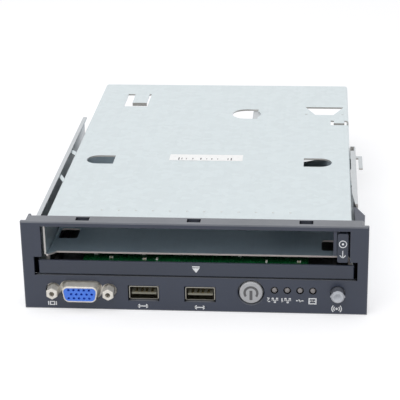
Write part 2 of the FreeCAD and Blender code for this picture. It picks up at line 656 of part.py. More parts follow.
def ident_button():
    front = IDENT_FRONT
    cap = rod_y(IDENT_X, IDENT_Z, IDENT_R, front, FACE_T + 0.4)
    cap = bevel_edges(cap, 0.6, lambda e: e.Closed and at_y(front)(e))
    dish = Part.makeCone(1.8, 0.2, 1.0, V(IDENT_X, front, IDENT_Z), V(0, 1, 0))
    ears = slab(IDENT_X - 3.2, IDENT_X + 3.2, front + 1.0, front + 2.0, IDENT_Z - 0.45, IDENT_Z + 0.45)
    flange = prism_y(ring_points(IDENT_X, IDENT_Z, IDENT_HOLE_R + 0.7, 16), FACE_T + 0.4, FACE_T + 1.4)
    stem = prism_y(ring_points(IDENT_X, IDENT_Z, 1.3, STEM_SIDES), FACE_T + 1.4, 9.4)
    return fused(cap.cut(dish), ears, flange, stem)


def switch_plunger(x, z, radius):
    return prism_y(ring_points(x, z, radius, STEM_SIDES), 9.4, 12.0)


def switch_body(x, z, radius):
    """Side-pressed switch standing on the control board."""
    body = slab(x - 3.1, x + 3.1, 11.0, 15.0, BOARD_TOP, z + 3.1)
    body = bevel_edges(body, 0.4, runs_along(V(0, 1, 0)))
    return body.cut(prism_y(ring_points(x, z, radius + 0.35, STEM_SIDES), 10.0, 13.4))


def light_pipe():
    """One clear moulding: four lenses on a bar, each with a leg down to its lamp."""
    x0, x1 = LIGHT_X - 2.2, LIGHT_X + (LIGHT_COUNT - 1) * LIGHT_PITCH + 2.2
    bar = slab(x0, x1, FACE_T, FACE_T + 1.8, LIGHT_Z - 1.8, LIGHT_Z + 1.8)
    pieces = []
    for x, z in light_places():
        lens = prism_y(ring_points(x, z, LIGHT_R, 16), LIGHT_FRONT, FACE_T + 0.2)
        lens = bevel_edges(lens, 0.4, at_y(LIGHT_FRONT))
        leg = prism_x(
            [(FACE_T + 1.6, z + 1.0), (7.4, z + 1.0), (9.4, z - 1.0), (9.4, BOARD_TOP + 1.4),
             (7.4, BOARD_TOP + 1.4), (7.4, z - 1.0), (FACE_T + 1.6, z - 1.0)],
            x - 1.0, x + 1.0,
        )
        pieces += [lens, leg]
    return fused(bar, *pieces)


def status_lamps():
    return group(slab(x - 0.8, x + 0.8, 7.4, 9.4, BOARD_TOP, BOARD_TOP + 1.1) for x, _ in light_places())


# Control board

def control_board():
    board = slab(-BOARD_X, BOARD_X, BOARD_FRONT, BOARD_REAR, BOARD_Z, BOARD_TOP)
    board = bevel_edges(board, 1.5, runs_along(V(0, 0, 1)))
    return board.cut([prism_z(ring_points(x, y, SCREW_R + 0.2, BOSS_SIDES), 0, 10) for x, y in SCREW_PLACES])


def board_screw(x, y):
    """Pan-head screw with a cross recess, in a boss of the pan."""
    head_top = BOARD_TOP + 1.9
    head = prism_z(ring_points(x, y, 2.7, 12), BOARD_TOP, head_top)
    head = bevel_edges(head, 0.6, lambda e: all(abs(v.Z - head_top) < 1e-6 for v in e.Vertexes))
    shank = prism_z(ring_points(x, y, SCREW_R - 0.05, BOSS_SIDES), 0.2, BOARD_TOP)
    arm, half = 1.5, 0.35
    cross = [
        slab(x - a, x + a, y - b, y + b, head_top - 1.1, head_top + 1) for a, b in ((arm, half), (half, arm))
    ]
    return fused(head, shank).cut(cross)


def board_screws():
    return group(board_screw(x, y) for x, y in SCREW_PLACES)


HEADER_X = (-46.0, -12.0)
HEADER_Y = (56.4, 65.2)


def cable_header():
    """Shrouded socket for the cable to the main board, with a polarising notch."""
    x0, x1 = HEADER_X
    y0, y1 = HEADER_Y
    top = BOARD_TOP + 8.6
    box = slab(x0, x1, y0, y1, BOARD_TOP, top)
    cavity = slab(x0 + 1.1, x1 - 1.1, y0 + 1.1, y1 - 1.1, BOARD_TOP + 2.2, top + 1)
    middle = (x0 + x1) / 2
    notch = slab(middle - 2.2, middle + 2.2, y0 - 1, y0 + 2, BOARD_TOP + 3.4, top + 1)
    return box.cut([cavity, notch])


def header_pins():
    middle = sum(HEADER_X) / 2
    row = sum(HEADER_Y) / 2
    made = []
    for i in range(11):
        for side in (-1.27, 1.27):
            x, y = middle + (i - 5) * 2.54, row + side
            made.append(slab(x - 0.32, x + 0.32, y - 0.32, y + 0.32, BOARD_TOP + 2.2, BOARD_TOP + 7.4))
    return group(made)


def ribbon_socket():
    body = slab(16.0, 42.0, 52.0, 57.6, BOARD_TOP, BOARD_TOP + 2.6)
    slot = slab(17.5, 40.5, 55.2, 58, BOARD_TOP + 0.9, BOARD_TOP + 1.5)
    return body.cut(slot)


def board_chips():
    places = (
        (-36.0, 36.0, 10.0, 10.0), (-14.0, 34.0, 7.0, 5.0), (8.0, 38.0, 6.4, 6.4), (38.0, 38.0, 5.0, 4.0)
    )
    return group(
        slab(x - w / 2, x + w / 2, y - d / 2, y + d / 2, BOARD_TOP, BOARD_TOP + 1.3) for x, y, w, d in places
    )


# Display tray

def tray_front():
    """Front strip of the tray, with barbed hooks that snap into the tray's front wall."""
    strip = slab(STRIP_LEFT, STRIP_RIGHT, STRIP_FRONT, STRIP_BACK, STRIP_BOTTOM, STRIP_TOP)
    strip = bevel_edges(strip, 0.4, at_y(STRIP_FRONT))
    barb_y = STRIP_BACK + TRAY_FRONT_T + 0.05
    low, high = STRIP_HOOK_Z0, STRIP_HOOK_Z1
    hook = [(STRIP_BACK, low), (barb_y + 1.0, low), (barb_y + 1.0, high), (barb_y, high + 0.5), (barb_y, high),
            (STRIP_BACK, high)]
    return fused(strip, *[prism_x(hook, x - 2, x + 2) for x in STRIP_HOOKS])


def display_tray():
    floor_top = TRAY_FLOOR_Z + TRAY_FLOOR_T
    top = TRAY_WALL_TOP
    front_back = STRIP_BACK + TRAY_FRONT_T
    floor = slab(-TRAY_X, TRAY_X, STRIP_BACK, TRAY_REAR, TRAY_FLOOR_Z, floor_top)
    walls = [
        slab(x, x + TRAY_WALL, STRIP_BACK, TRAY_REAR, TRAY_FLOOR_Z, top) for x in (-TRAY_X, TRAY_X - TRAY_WALL)
    ]
    walls.append(slab(-TRAY_X, TRAY_X, STRIP_BACK, front_back, TRAY_FLOOR_Z, top))
    back = slab(-TRAY_X, TRAY_X, TRAY_REAR - TRAY_WALL, TRAY_REAR, TRAY_FLOOR_Z, top)
    runners = [
        slab(min(s * TRAY_X, s * (TRAY_X + RUNNER_REACH)), max(s * TRAY_X, s * (TRAY_X + RUNNER_REACH)),
             GUIDE_FRONT + 1, TRAY_REAR, RUNNER_Z0, RUNNER_Z1)
        for s in (-1, 1)
    ]
    ribs = [
        slab(x - 0.6, x + 0.6, front_back, TRAY_REAR - TRAY_WALL, floor_top, DISPLAY_Z)
        for x in (-40.0, 0.0, 40.0)
    ]
    gusset = [(front_back, floor_top), (front_back + 2.4, floor_top), (front_back, top - 0.4)]
    webs = [prism_x(gusset, x - 0.5, x + 0.5) for x in (-58.0, -30.0, -12.0, 12.0, 30.0, 58.0)]
    striker = slab(-3.0, 3.0, TRAY_REAR, TRAY_REAR + 4.0, 19.4, 21.0)
    body = fused(floor, back, striker, *(walls + runners + ribs + webs))
    cable_gap = slab(22.0, 44.0, TRAY_REAR - 3, TRAY_REAR + 1, floor_top, 24)
    hook_windows = [
        slab(x - 2.2, x + 2.2, STRIP_BACK - 1, front_back + 0.1, STRIP_HOOK_Z0 - 0.1, STRIP_HOOK_Z1 + 0.1)
        for x in STRIP_HOOKS
    ]
    return body.cut([cable_gap] + hook_windows)


def display_board():
    board = slab(-DISPLAY_X, DISPLAY_X, DISPLAY_FRONT, DISPLAY_REAR, DISPLAY_Z, DISPLAY_Z + DISPLAY_T)
    return bevel_edges(board, 1.2, runs_along(V(0, 0, 1)))


def display_lamp_places():
    """Map of small lamps: memory rows at both sides, processors and fans between them."""
    rows = [(x, y) for x in (-45.0, -37.5, 37.5, 45.0) for y in (19.0, 25.5, 32.0, 38.5)] + [(-45.0, 12.6)]
    middle = [(x, y) for x in (-23.5, 19.6) for y in (13.0, 24.0, 35.0)]
    fans = [(x, 44.0) for x in (-25.0, -15.0, -5.0, 5.0, 15.0, 25.0)]
    return rows + middle + fans


def display_lamps():
    z = DISPLAY_Z + DISPLAY_T
    return group(slab(x - 0.8, x + 0.8, y - 0.4, y + 0.4, z, z + 0.7) for x, y in display_lamp_places())


def display_ribbon_socket():
    z = DISPLAY_Z + DISPLAY_T
    return slab(23.0, 43.0, 46.0, 49.6, z, z + 1.4)


def tray_guide(side):
    """Grooved rail on the shelf's flange that one edge of the tray runs in."""
    left, right = shelf_edges()
    back_x = left + SHEET if side < 0 else right - SHEET
    inner_x = side * (TRAY_X + 0.4)
    x0, x1 = min(back_x, inner_x), max(back_x, inner_x)
    body = slab(x0, x1, GUIDE_FRONT, GUIDE_REAR, GUIDE_Z0, GUIDE_Z1)
    groove_end = side * (TRAY_X + RUNNER_REACH + RUNNER_GAP)
    g0, g1 = min(inner_x - side, groove_end), max(inner_x - side, groove_end)
    groove = slab(g0, g1, GUIDE_FRONT - 1, GUIDE_REAR - 2, RUNNER_Z0 - RUNNER_GAP, RUNNER_Z1 + RUNNER_GAP)
    return body.cut(groove)


def tray_catch():
    """Push-to-release catch under the shelf; the tray's striker enters its mouth."""
    body = slab(-8.0, 8.0, TRAY_REAR + 2.2, TRAY_REAR + 26.0, 17.4, SHELF_TOP - SHEET)
    body = bevel_edges(body, 1.0, runs_along(V(0, 0, 1)))
    mouth = slab(-3.6, 3.6, TRAY_REAR + 2, TRAY_REAR + 8.0, 18.9, 21.5)
    return body.cut(mouth)


# Drive release

def release_slider():
    """Finger tab with a stem that runs back beside the drive and a nose that holds it."""
    tab = slab(TAB_LEFT, TAB_RIGHT, TAB_FRONT, TAB_BACK, TAB_BOTTOM, TAB_TOP)
    tab = round_edges(tab, 0.8, runs_along(V(0, 1, 0)))
    stem = slab(SLIDER_LEFT, SLIDER_RIGHT, SHELF_FRONT + 0.3, SLIDER_REAR, SLIDER_BOTTOM, SLIDER_TOP)
    neck = slab(SLIDER_LEFT, SLIDER_RIGHT, TAB_BACK, SHELF_FRONT + 0.3, TAB_BOTTOM + 1, SLIDER_TOP)
    relief = slab(SLIDER_LEFT - 3, SLIDER_RIGHT + 3, 8.0, 27.0, 29.4, 31.6)
    nose_x = SLIDER_LEFT - 1.8
    nose = prism_z([(SLIDER_LEFT, 28.0), (nose_x, 30.0), (nose_x, 32.0), (SLIDER_LEFT, 32.0)], 27.0, 34.0)
    wall_x = CAGE_RIGHT - SHEET - 0.1
    shoes = [slab(SLIDER_RIGHT, wall_x, y, y + 4, SLIDER_BOTTOM, 29.0) for y in (10.0, 38.0)]
    return fused(tab, neck, stem, nose, *shoes).cut(relief)


def release_spring():
    """Folded flat spring between the slider's stem and the stop on the shelf."""
    folds = 4
    step = SPRING_LENGTH / folds
    x0, x1 = 63.8, 66.2
    t = 0.3
    y = SLIDER_REAR
    corners = [(x0 if i % 2 == 0 else x1, y + i * step) for i in range(folds + 1)]
    legs = []
    for (xa, ya), (xb, yb) in zip(corners, corners[1:]):
        legs.append(prism_z([(xa - t, ya), (xa + t, ya), (xb + t, yb), (xb - t, yb)], 28.0, 32.0))
    return fused(legs[0], *legs[1:])


# Drive connector at the back of the bay

def connector_bracket():
    top = CAGE_TOP - SHEET
    flange = slab(18.7, 58.0, 131.0, 146.0, top - SHEET, top)
    rear_flange = slab(18.7, 44.0, 146.0, 159.0, top - SHEET, top)
    plate = slab(30.0, 58.0, 131.0, 131.0 + SHEET, 27.0, top)
    return fused(flange, rear_flange, plate)


def connector_board():
    return slab(31.0, 57.0, 131.0 + SHEET, 131.0 + SHEET + BOARD_T, 28.0, 38.0)


def drive_connector():
    body = slab(32.0, 56.0, 127.0, 131.0, 29.5, 36.0)
    body = bevel_edges(body, 0.5, runs_along(V(0, 1, 0)))
    blade_slots = [slab(33.2, 43.2, 126, 130.0, 31.6, 33.6), slab(45.2, 54.8, 126, 130.0, 31.6, 33.6)]
    return body.cut(blade_slots)


PIECES = {
    "bezel": bezel,
    "drive_cage": drive_cage,
    "drive_shelf": drive_shelf,
    "base_pan": base_pan,
    "video_shell": video_shell,
    "video_insulator": video_insulator,
    "video_contacts": video_contacts,
    "jackscrews": jackscrews,
    "data_port_shell_left": lambda: data_port_shell(DATA_PORT_X[0]),
    "data_port_shell_right": lambda: data_port_shell(DATA_PORT_X[1]),
    "data_port_insulator_left": lambda: data_port_insulator(DATA_PORT_X[0]),
    "data_port_insulator_right": lambda: data_port_insulator(DATA_PORT_X[1]),
    "data_port_contacts_left": lambda: data_port_contacts(DATA_PORT_X[0]),
    "data_port_contacts_right": lambda: data_port_contacts(DATA_PORT_X[1]),
    "power_button": power_button,
    "power_plunger": lambda: switch_plunger(POWER_X, POWER_Z, 1.7),
    "power_switch": lambda: switch_body(POWER_X, POWER_Z, 1.7),
    "ident_button": ident_button,
    "ident_plunger": lambda: switch_plunger(IDENT_X, IDENT_Z, 1.3),
    "ident_switch": lambda: switch_body(IDENT_X, IDENT_Z, 1.3),
    "light_pipe": light_pipe,
    "status_lamps": status_lamps,
    "control_board": control_board,
    "board_screws": board_screws,
    "cable_header": cable_header,
    "header_pins": header_pins,
    "ribbon_socket": ribbon_socket,
    "board_chips": board_chips,
    "display_tray": display_tray,
    "tray_front": tray_front,
    "display_board": display_board,
    "display_lamps": display_lamps,
    "display_ribbon_socket": display_ribbon_socket,
    "tray_guide_left": lambda: tray_guide(-1),
    "tray_guide_right": lambda: tray_guide(1),
    "tray_catch": tray_catch,
    "release_slider": release_slider,
    "release_spring": release_spring,
    "connector_bracket": connector_bracket,
    "connector_board": connector_board,
    "drive_connector": drive_connector,
}


def main():
    os.makedirs("parts", exist_ok=True)
    for name, make in PIECES.items():
        shape = make()
        shape.translate(V(0, -ORIGIN_Y, 0))
        shape.exportStep(f"parts/{name}.step")
        solids = shape.Solids
        box = shape.BoundBox
        print(f"{name}: {len(solids)} solids, valid {all(s.isValid() for s in solids)}, "
              f"volume {sum(s.Volume for s in solids):.1f}, box {box.XMin:.2f}..{box.XMax:.2f} "
              f"{box.YMin:.2f}..{box.YMax:.2f} {box.ZMin:.2f}..{box.ZMax:.2f}")


main()
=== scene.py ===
"""Dresses the front media bay of a rack server and sets its picture.

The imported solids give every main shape. This script finishes their surfaces, prints the marks
on the face, adds the small parts of the boards and sets the studio, the lights and the camera.
Lengths are in metres, except where a name ends in _mm.
"""

from __future__ import annotations

import json
import logging
import math
from collections.abc import Callable, Iterator
from contextlib import contextmanager
from dataclasses import dataclass, field
from enum import Enum

import bpy
from mathutils import Matrix, Vector

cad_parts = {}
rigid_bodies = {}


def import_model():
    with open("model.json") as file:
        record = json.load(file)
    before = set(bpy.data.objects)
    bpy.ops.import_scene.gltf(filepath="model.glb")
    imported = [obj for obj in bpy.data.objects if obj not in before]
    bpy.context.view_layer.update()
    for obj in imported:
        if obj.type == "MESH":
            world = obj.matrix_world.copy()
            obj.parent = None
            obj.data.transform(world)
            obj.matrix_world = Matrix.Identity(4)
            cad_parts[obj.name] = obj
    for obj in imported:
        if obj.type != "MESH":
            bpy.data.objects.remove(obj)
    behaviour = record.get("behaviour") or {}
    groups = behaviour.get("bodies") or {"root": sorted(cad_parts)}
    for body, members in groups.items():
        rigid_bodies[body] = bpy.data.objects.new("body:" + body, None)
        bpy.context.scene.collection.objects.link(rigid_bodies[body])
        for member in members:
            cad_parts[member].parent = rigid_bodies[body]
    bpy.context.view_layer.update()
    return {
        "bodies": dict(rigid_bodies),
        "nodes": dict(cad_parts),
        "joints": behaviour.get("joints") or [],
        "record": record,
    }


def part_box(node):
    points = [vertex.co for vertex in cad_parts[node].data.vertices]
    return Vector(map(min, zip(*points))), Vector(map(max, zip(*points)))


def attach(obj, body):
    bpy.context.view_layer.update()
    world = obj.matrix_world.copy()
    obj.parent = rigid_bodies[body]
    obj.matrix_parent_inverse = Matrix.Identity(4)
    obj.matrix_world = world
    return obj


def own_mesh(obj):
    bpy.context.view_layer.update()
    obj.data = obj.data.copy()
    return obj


LOG = logging.getLogger("media_bay")
MM = 0.001
SMOOTH_ANGLE = math.radians(40)
Pair = tuple[float, float]
Triple = tuple[float, float, float]
Colour = tuple[float, float, float]
Spot = tuple[float, float, bool]
Socket = bpy.types.NodeSocket


class Body(Enum):
    """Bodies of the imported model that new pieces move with."""

    CHASSIS = "chassis"
    TRAY = "tray"
    POWER_KEY = "power_key"
    RELEASE = "release"


class Facing(Enum):
    """Which way a printed face looks."""

    FRONT = "front"
    UP = "up"


def tone(red: int, green: int, blue: int) -> Colour:
    """Turns a screen colour into the linear colour that shaders use.

    Args:
        red: Red from 0 to 255.
        green: Green from 0 to 255.
        blue: Blue from 0 to 255.

    Returns:
        The linear red, green and blue.
    """
    def linear(value: int) -> float:
        """One channel, by the screen's own curve."""
        share = value / 255
        return share / 12.92 if share <= 0.04045 else ((share + 0.055) / 1.055) ** 2.4

    return linear(red), linear(green), linear(blue)


def shade(colour: Colour, factor: float) -> Colour:
    """Scales a colour's brightness.

    Args:
        colour: Linear colour.
        factor: Brightness factor.

    Returns:
        The scaled colour, no channel over 1.
    """
    return tuple(min(1.0, channel * factor) for channel in colour)


# Parts of a value's range: most of a noise's values, the ends of its clouds, and all of it.
NOISE_MIDDLE = (0.25, 0.75)
CLOUD_ENDS = (0.3, 0.7)
WHOLE = (0.0, 1.0)
# Share of open sky at which the painted shade in recesses is full, and at which it is gone.
RECESS_TO_OPEN = (0.6, 0.92)
# The colour mix node's sockets.
MIX_SHARE, MIX_FIRST, MIX_SECOND, MIX_COLOUR = 0, 6, 7, 2


class NodePaint:
    """Builds one procedural material on Object coordinates."""

    def __init__(self, name: str) -> None:
        """Starts a Principled material.

        Args:
            name: Name of the material.
        """
        self.material = bpy.data.materials.new(name)
        self.material.use_nodes = True
        self.nodes = self.material.node_tree.nodes
        self.links = self.material.node_tree.links
        self.shader = self.nodes["Principled BSDF"]
        self.place = self.nodes.new("ShaderNodeTexCoord").outputs["Object"]

    def noise(self, scale: float, detail: float = 3.0, vector: Socket | None = None) -> Socket:
        """Cloudy noise.

        Args:
            scale: Features per metre.
            detail: Octaves.
            vector: Coordinates to read, the object's own by default.

        Returns:
            The noise value.
        """
        node = self.nodes.new("ShaderNodeTexNoise")
        node.inputs["Scale"].default_value = scale
        node.inputs["Detail"].default_value = detail
        self.links.new(vector or self.place, node.inputs["Vector"])
        return node.outputs["Fac"]

    def lines(self, per_m: Triple, detail: float) -> Socket:
        """Noise that is drawn out along one axis.

        Args:
            per_m: Features per metre along X, Y and Z.
            detail: Octaves.

        Returns:
            The noise value.
        """
        node = self.nodes.new("ShaderNodeMapping")
        node.inputs["Scale"].default_value = per_m
        self.links.new(self.place, node.inputs["Vector"])
        return self.noise(1.0, detail, node.outputs["Vector"])

    def cells(self, scale: float) -> Socket:
        """One random grey for each crystal-like cell.

        Args:
            scale: Cells per metre.

        Returns:
            The cell's grey value.
        """
        node = self.nodes.new("ShaderNodeTexVoronoi")
        node.inputs["Scale"].default_value = scale
        self.links.new(self.place, node.inputs["Vector"])
        grey = self.nodes.new("ShaderNodeSeparateColor")
        self.links.new(node.outputs["Color"], grey.inputs["Color"])
        return grey.outputs["Red"]

    def spread(self, value: Socket, low: float, high: float, between: Pair = NOISE_MIDDLE) -> Socket:
        """Maps part of a value's range, a noise's middle by default, to another range.

        Args:
            value: Value to map.
            low: Result at the part's lower end.
            high: Result at the part's upper end.
            between: The part's ends.

        Returns:
            The mapped value.
        """
        node = self.nodes.new("ShaderNodeMapRange")
        node.inputs["From Min"].default_value, node.inputs["From Max"].default_value = between
        node.inputs["To Min"].default_value = low
        node.inputs["To Max"].default_value = high
        self.links.new(value, node.inputs["Value"])
        return node.outputs["Result"]

    def ramp(self, value: Socket, stops: list[tuple[float, Colour]]) -> Socket:
        """Colours a value through a ramp.

        Args:
            value: Value from 0 to 1.
            stops: Places on the ramp and their colours, in order.

        Returns:
            The colour.
        """
        node = self.nodes.new("ShaderNodeValToRGB")
        elements = node.color_ramp.elements
        while len(elements) < len(stops):
            elements.new(0.5)
        for element, (place, colour) in zip(elements, stops):
            element.position = place
            element.color = (*colour, 1.0)
        self.links.new(value, node.inputs["Fac"])
        return node.outputs["Color"]

    def tones(self, value: Socket, colour: Colour, factors: Pair, ends: Pair = CLOUD_ENDS) -> Socket:
        """A colour that a value makes uneven.

        Args:
            value: Value from 0 to 1.
            colour: Middle colour.
            factors: Brightness factors where the value is low and where it is high.
            ends: Where the value counts as low and as high.

        Returns:
            The uneven colour.
        """
        return self.ramp(value, [(end, shade(colour, factor)) for end, factor in zip(ends, factors)])

    def mix(self, amount: Socket, low: Socket, high: Socket) -> Socket:
        """Mixes two colours.

        Args:
            amount: Share of the second colour.
            low: First colour.
            high: Second colour.

        Returns:
            The mixed colour.
        """
        node = self.nodes.new("ShaderNodeMix")
        node.data_type = "RGBA"
        self.links.new(amount, node.inputs[MIX_SHARE])
        self.links.new(low, node.inputs[MIX_FIRST])
        self.links.new(high, node.inputs[MIX_SECOND])
        return node.outputs[MIX_COLOUR]

    def calculate(self, operation: str, *values: Socket) -> Socket:
        """One arithmetic step.

        Args:
            operation: Name of the step.
            *values: One or two values.

        Returns:
            The result.
        """
        node = self.nodes.new("ShaderNodeMath")
        node.operation = operation
        for value, socket in zip(values, node.inputs):
            self.links.new(value, socket)
        return node.outputs[0]

    def part(self, vector: Socket, axis: str) -> Socket:
        """One part of a vector.

        Args:
            vector: The vector.
            axis: X, Y or Z.

        Returns:
            The part along that axis.
        """
        node = self.nodes.new("ShaderNodeSeparateXYZ")
        self.links.new(vector, node.inputs["Vector"])
        return node.outputs[axis]

    def facing(self, axis: str) -> Socket:
        """One where the surface looks along an axis, nothing where it runs along it.

        Args:
            axis: X, Y or Z.

        Returns:
            The share, from the object's own normals.
        """
        return self.calculate("ABSOLUTE", self.part(self.place.node.outputs["Normal"], axis))

    def open_air(self, reach: float) -> Socket:
        """One on open faces, nothing in narrow recesses of the same piece, for placing painted shade.

        Args:
            reach: How far away a facing wall still shades, in metres.

        Returns:
            The share of open air.
        """
        node = self.nodes.new("ShaderNodeAmbientOcclusion")
        node.only_local = True
        node.inputs["Distance"].default_value = reach
        return self.spread(node.outputs["AO"], *WHOLE, RECESS_TO_OPEN)

    def bump(self, height: Socket, depth: float, strength: float = 0.2) -> None:
        """Raises the surface by a height.

        Args:
            height: Height value.
            depth: Depth in metres at full height.
            strength: Strength from 0 to 1.
        """
        node = self.nodes.new("ShaderNodeBump")
        node.inputs["Strength"].default_value = strength
        node.inputs["Distance"].default_value = depth
        self.links.new(height, node.inputs["Height"])
        self.links.new(node.outputs["Normal"], self.shader.inputs["Normal"])

    def rough(self, noise: Socket, middle: float, reach: Pair) -> None:
        """Lets the roughness vary with a noise.

        Args:
            noise: Noise value.
            middle: Middle roughness.
            reach: How far it goes below the middle and above it.
        """
        below, above = reach
        self.feed("Roughness", self.spread(noise, middle - below, middle + above))

    def feed(self, socket: str, source: Socket) -> None:
        """Links a varying value to one of the shader's sockets."""
        self.links.new(source, self.shader.inputs[socket])

    def fix(self, **values: float) -> None:
        """Sets plain values on the shader, with underscores for the sockets' spaces."""
        for name, value in values.items():
            self.shader.inputs[name.replace("_", " ")].default_value = value


@dataclass(frozen=True)
class MouldedPlastic:
    """Opaque moulded plastic with a fine grain, and if wanted a painted highlight on level faces and
    painted shade in recesses.

    The painted highlight ends where the skirt ends, counted along Y in the object's own frame.
    """

    name: str
    colour: Colour
    roughness: float = 0.5
    mottle: float = 0.08
    gloss: float = 1.5
    # Painted highlight: a lighter tone on the skirt's level faces, upper and lower, standing in for light
    # from above.
    top_highlight: Colour | None = None
    top_highlight_ends: Pair = (-89.8 * MM, -86.0 * MM)
    # Painted shade: a near-black tone in narrow recesses of the piece, with their shine taken away,
    # standing in for the shade that falls there.
    recess_shade: Colour | None = None
    recess_shade_reach: float = 6.0 * MM
    recess_shade_shine: Pair = (0.0, 0.5)
    cloud_per_m: float = 38.0
    sheen_per_m: float = 420.0
    sheen_reach: Pair = (0.06, 0.06)
    grain_per_m: float = 2200.0
    grain_depth: float = 0.03 * MM
    grain_strength: float = 0.5

    def material(self) -> bpy.types.Material:
        """Builds the material.

        Returns:
            The finished material.
        """
        paint = NodePaint(self.name)
        cloud = paint.noise(self.cloud_per_m, detail=4.0)
        uneven = (1 - self.mottle, 1 + self.mottle)
        surface = paint.tones(cloud, self.colour, uneven)
        # Painted highlight: the skirt's level faces take the lighter tone, which stands in for light
        # falling from above.
        if self.top_highlight:
            on_skirt = paint.spread(paint.part(paint.place, "Y"), 1.0, 0.0, self.top_highlight_ends)
            highlight_share = paint.calculate("MULTIPLY", paint.facing("Z"), on_skirt)
            surface = paint.mix(highlight_share, surface, paint.tones(cloud, self.top_highlight, uneven))
        # Painted shade: recesses darken to the shade colour and lose their shine.
        if self.recess_shade:
            open_air = paint.open_air(self.recess_shade_reach)
            surface = paint.mix(open_air, paint.tones(cloud, self.recess_shade, uneven), surface)
            paint.feed("Specular IOR Level", paint.spread(open_air, *self.recess_shade_shine, WHOLE))
        paint.feed("Base Color", surface)
        paint.rough(paint.noise(self.sheen_per_m), self.roughness, self.sheen_reach)
        paint.bump(paint.noise(self.grain_per_m, detail=2.0), self.grain_depth, self.grain_strength)
        paint.fix(IOR=self.gloss)
        return paint.material


@dataclass(frozen=True)
class ZincSheet:
    """Zinc-coated sheet with soft spangles, rolling lines, a few scratches, and a less metallic edge colour
    on every face that looks along Y: bare steel on cut edges, and a painted highlight where that colour is
    set lighter than the sheet.
    """

    name: str
    colour: Colour
    # Edge colour: bare steel on cut edges, and a painted highlight where it is set lighter than the sheet.
    cut_edge_and_highlight: Colour
    roughness: float = 0.38
    metal: float = 0.9
    edge_metal: float = 0.3
    edge_tones: Pair = (0.97, 1.0)
    spangle_per_m: float = 320.0
    spangle_tones: Pair = (0.974, 1.022)
    rolling_per_m: Triple = (900.0, 18.0, 900.0)
    rolling_tones: Pair = (0.95, 1.04)
    rolling_reach: Pair = (0.04, 0.06)
    rolling_depth: float = 0.008 * MM
    scratch_per_m: Triple = (260.0, 2600.0, 260.0)
    scratch_ends: Pair = (0.70, 0.74)
    scratch_share: float = 0.4

    def material(self) -> bpy.types.Material:
        """Builds the material, with every face that looks along Y, front or rear, in the less metallic edge
        colour.

        Returns:
            The finished material.
        """
        paint = NodePaint(self.name)
        spangle = paint.cells(self.spangle_per_m)
        rolling = paint.lines(self.rolling_per_m, detail=4.0)
        scratch = paint.lines(self.scratch_per_m, detail=2.0)
        scratched = paint.spread(scratch, 0.0, self.scratch_share, self.scratch_ends)
        bright = paint.tones(spangle, self.colour, self.spangle_tones, WHOLE)
        face = paint.mix(scratched, bright, paint.tones(rolling, self.colour, self.rolling_tones))
        # Faces that look along Y, cut edges and bent fronts alike, take the edge colour and less metal;
        # where it is lighter than the sheet, as on the shelf, this is a painted highlight.
        edge_and_highlight = paint.tones(spangle, self.cut_edge_and_highlight, self.edge_tones, WHOLE)
        looks_along_y = paint.facing("Y")
        paint.feed("Base Color", paint.mix(looks_along_y, face, edge_and_highlight))
        paint.feed("Metallic", paint.spread(looks_along_y, self.metal, self.edge_metal, WHOLE))
        paint.rough(rolling, self.roughness, self.rolling_reach)
        paint.bump(rolling, self.rolling_depth)
        return paint.material


@dataclass(frozen=True)
class PlatedMetal:
    """Nickel, gold or bright spring metal with faint drawing lines."""

    name: str
    colour: Colour
    roughness: float = 0.25
    metal: float = 1.0
    cloud_per_m: float = 500.0
    cloud_tones: Pair = (0.92, 1.06)
    drawn_per_m: Triple = (4000.0, 300.0, 4000.0)
    drawn_reach: Pair = (0.06, 0.08)
    drawn_depth: float = 0.005 * MM

    def material(self) -> bpy.types.Material:
        """Builds the material.

        Returns:
            The finished material.
        """
        paint = NodePaint(self.name)
        cloud = paint.noise(self.cloud_per_m)
        drawn = paint.lines(self.drawn_per_m, detail=2.0)
        paint.feed("Base Color", paint.tones(cloud, self.colour, self.cloud_tones))
        paint.rough(drawn, self.roughness, self.drawn_reach)
        paint.bump(drawn, self.drawn_depth)
        paint.fix(Metallic=self.metal)
        return paint.material


@dataclass(frozen=True)
class ClearPlastic:
    """Frosted or smoky clear plastic, with painted shade on its sides where a side colour is given."""

    name: str
    colour: Colour
    roughness: float = 0.25
    clear: float = 0.45
    # Painted shade: a darker colour on the faces that don't look along Y, the sides.
    side: Colour | None = None
    index: float = 1.49
    haze_per_m: float = 700.0
    haze_tones: Pair = (0.93, 1.05)
    haze_reach: Pair = (0.05, 0.08)
    ripple_per_m: float = 1600.0
    ripple_depth: float = 0.01 * MM
    ripple_strength: float = 0.3

    def material(self) -> bpy.types.Material:
        """Builds the material.

        Returns:
            The finished material.
        """
        paint = NodePaint(self.name)
        haze = paint.noise(self.haze_per_m)
        surface = paint.tones(haze, self.colour, self.haze_tones)
        # Painted shade: the sides take the darker side colour, which stands in for the dark seen through
        # them.
        if self.side:
            surface = paint.mix(paint.facing("Y"), paint.tones(haze, self.side, self.haze_tones), surface)
        paint.feed("Base Color", surface)
        paint.rough(haze, self.roughness, self.haze_reach)
        paint.bump(paint.noise(self.ripple_per_m, detail=2.0), self.ripple_depth, self.ripple_strength)
        paint.fix(Transmission_Weight=self.clear, IOR=self.index)
        return paint.material


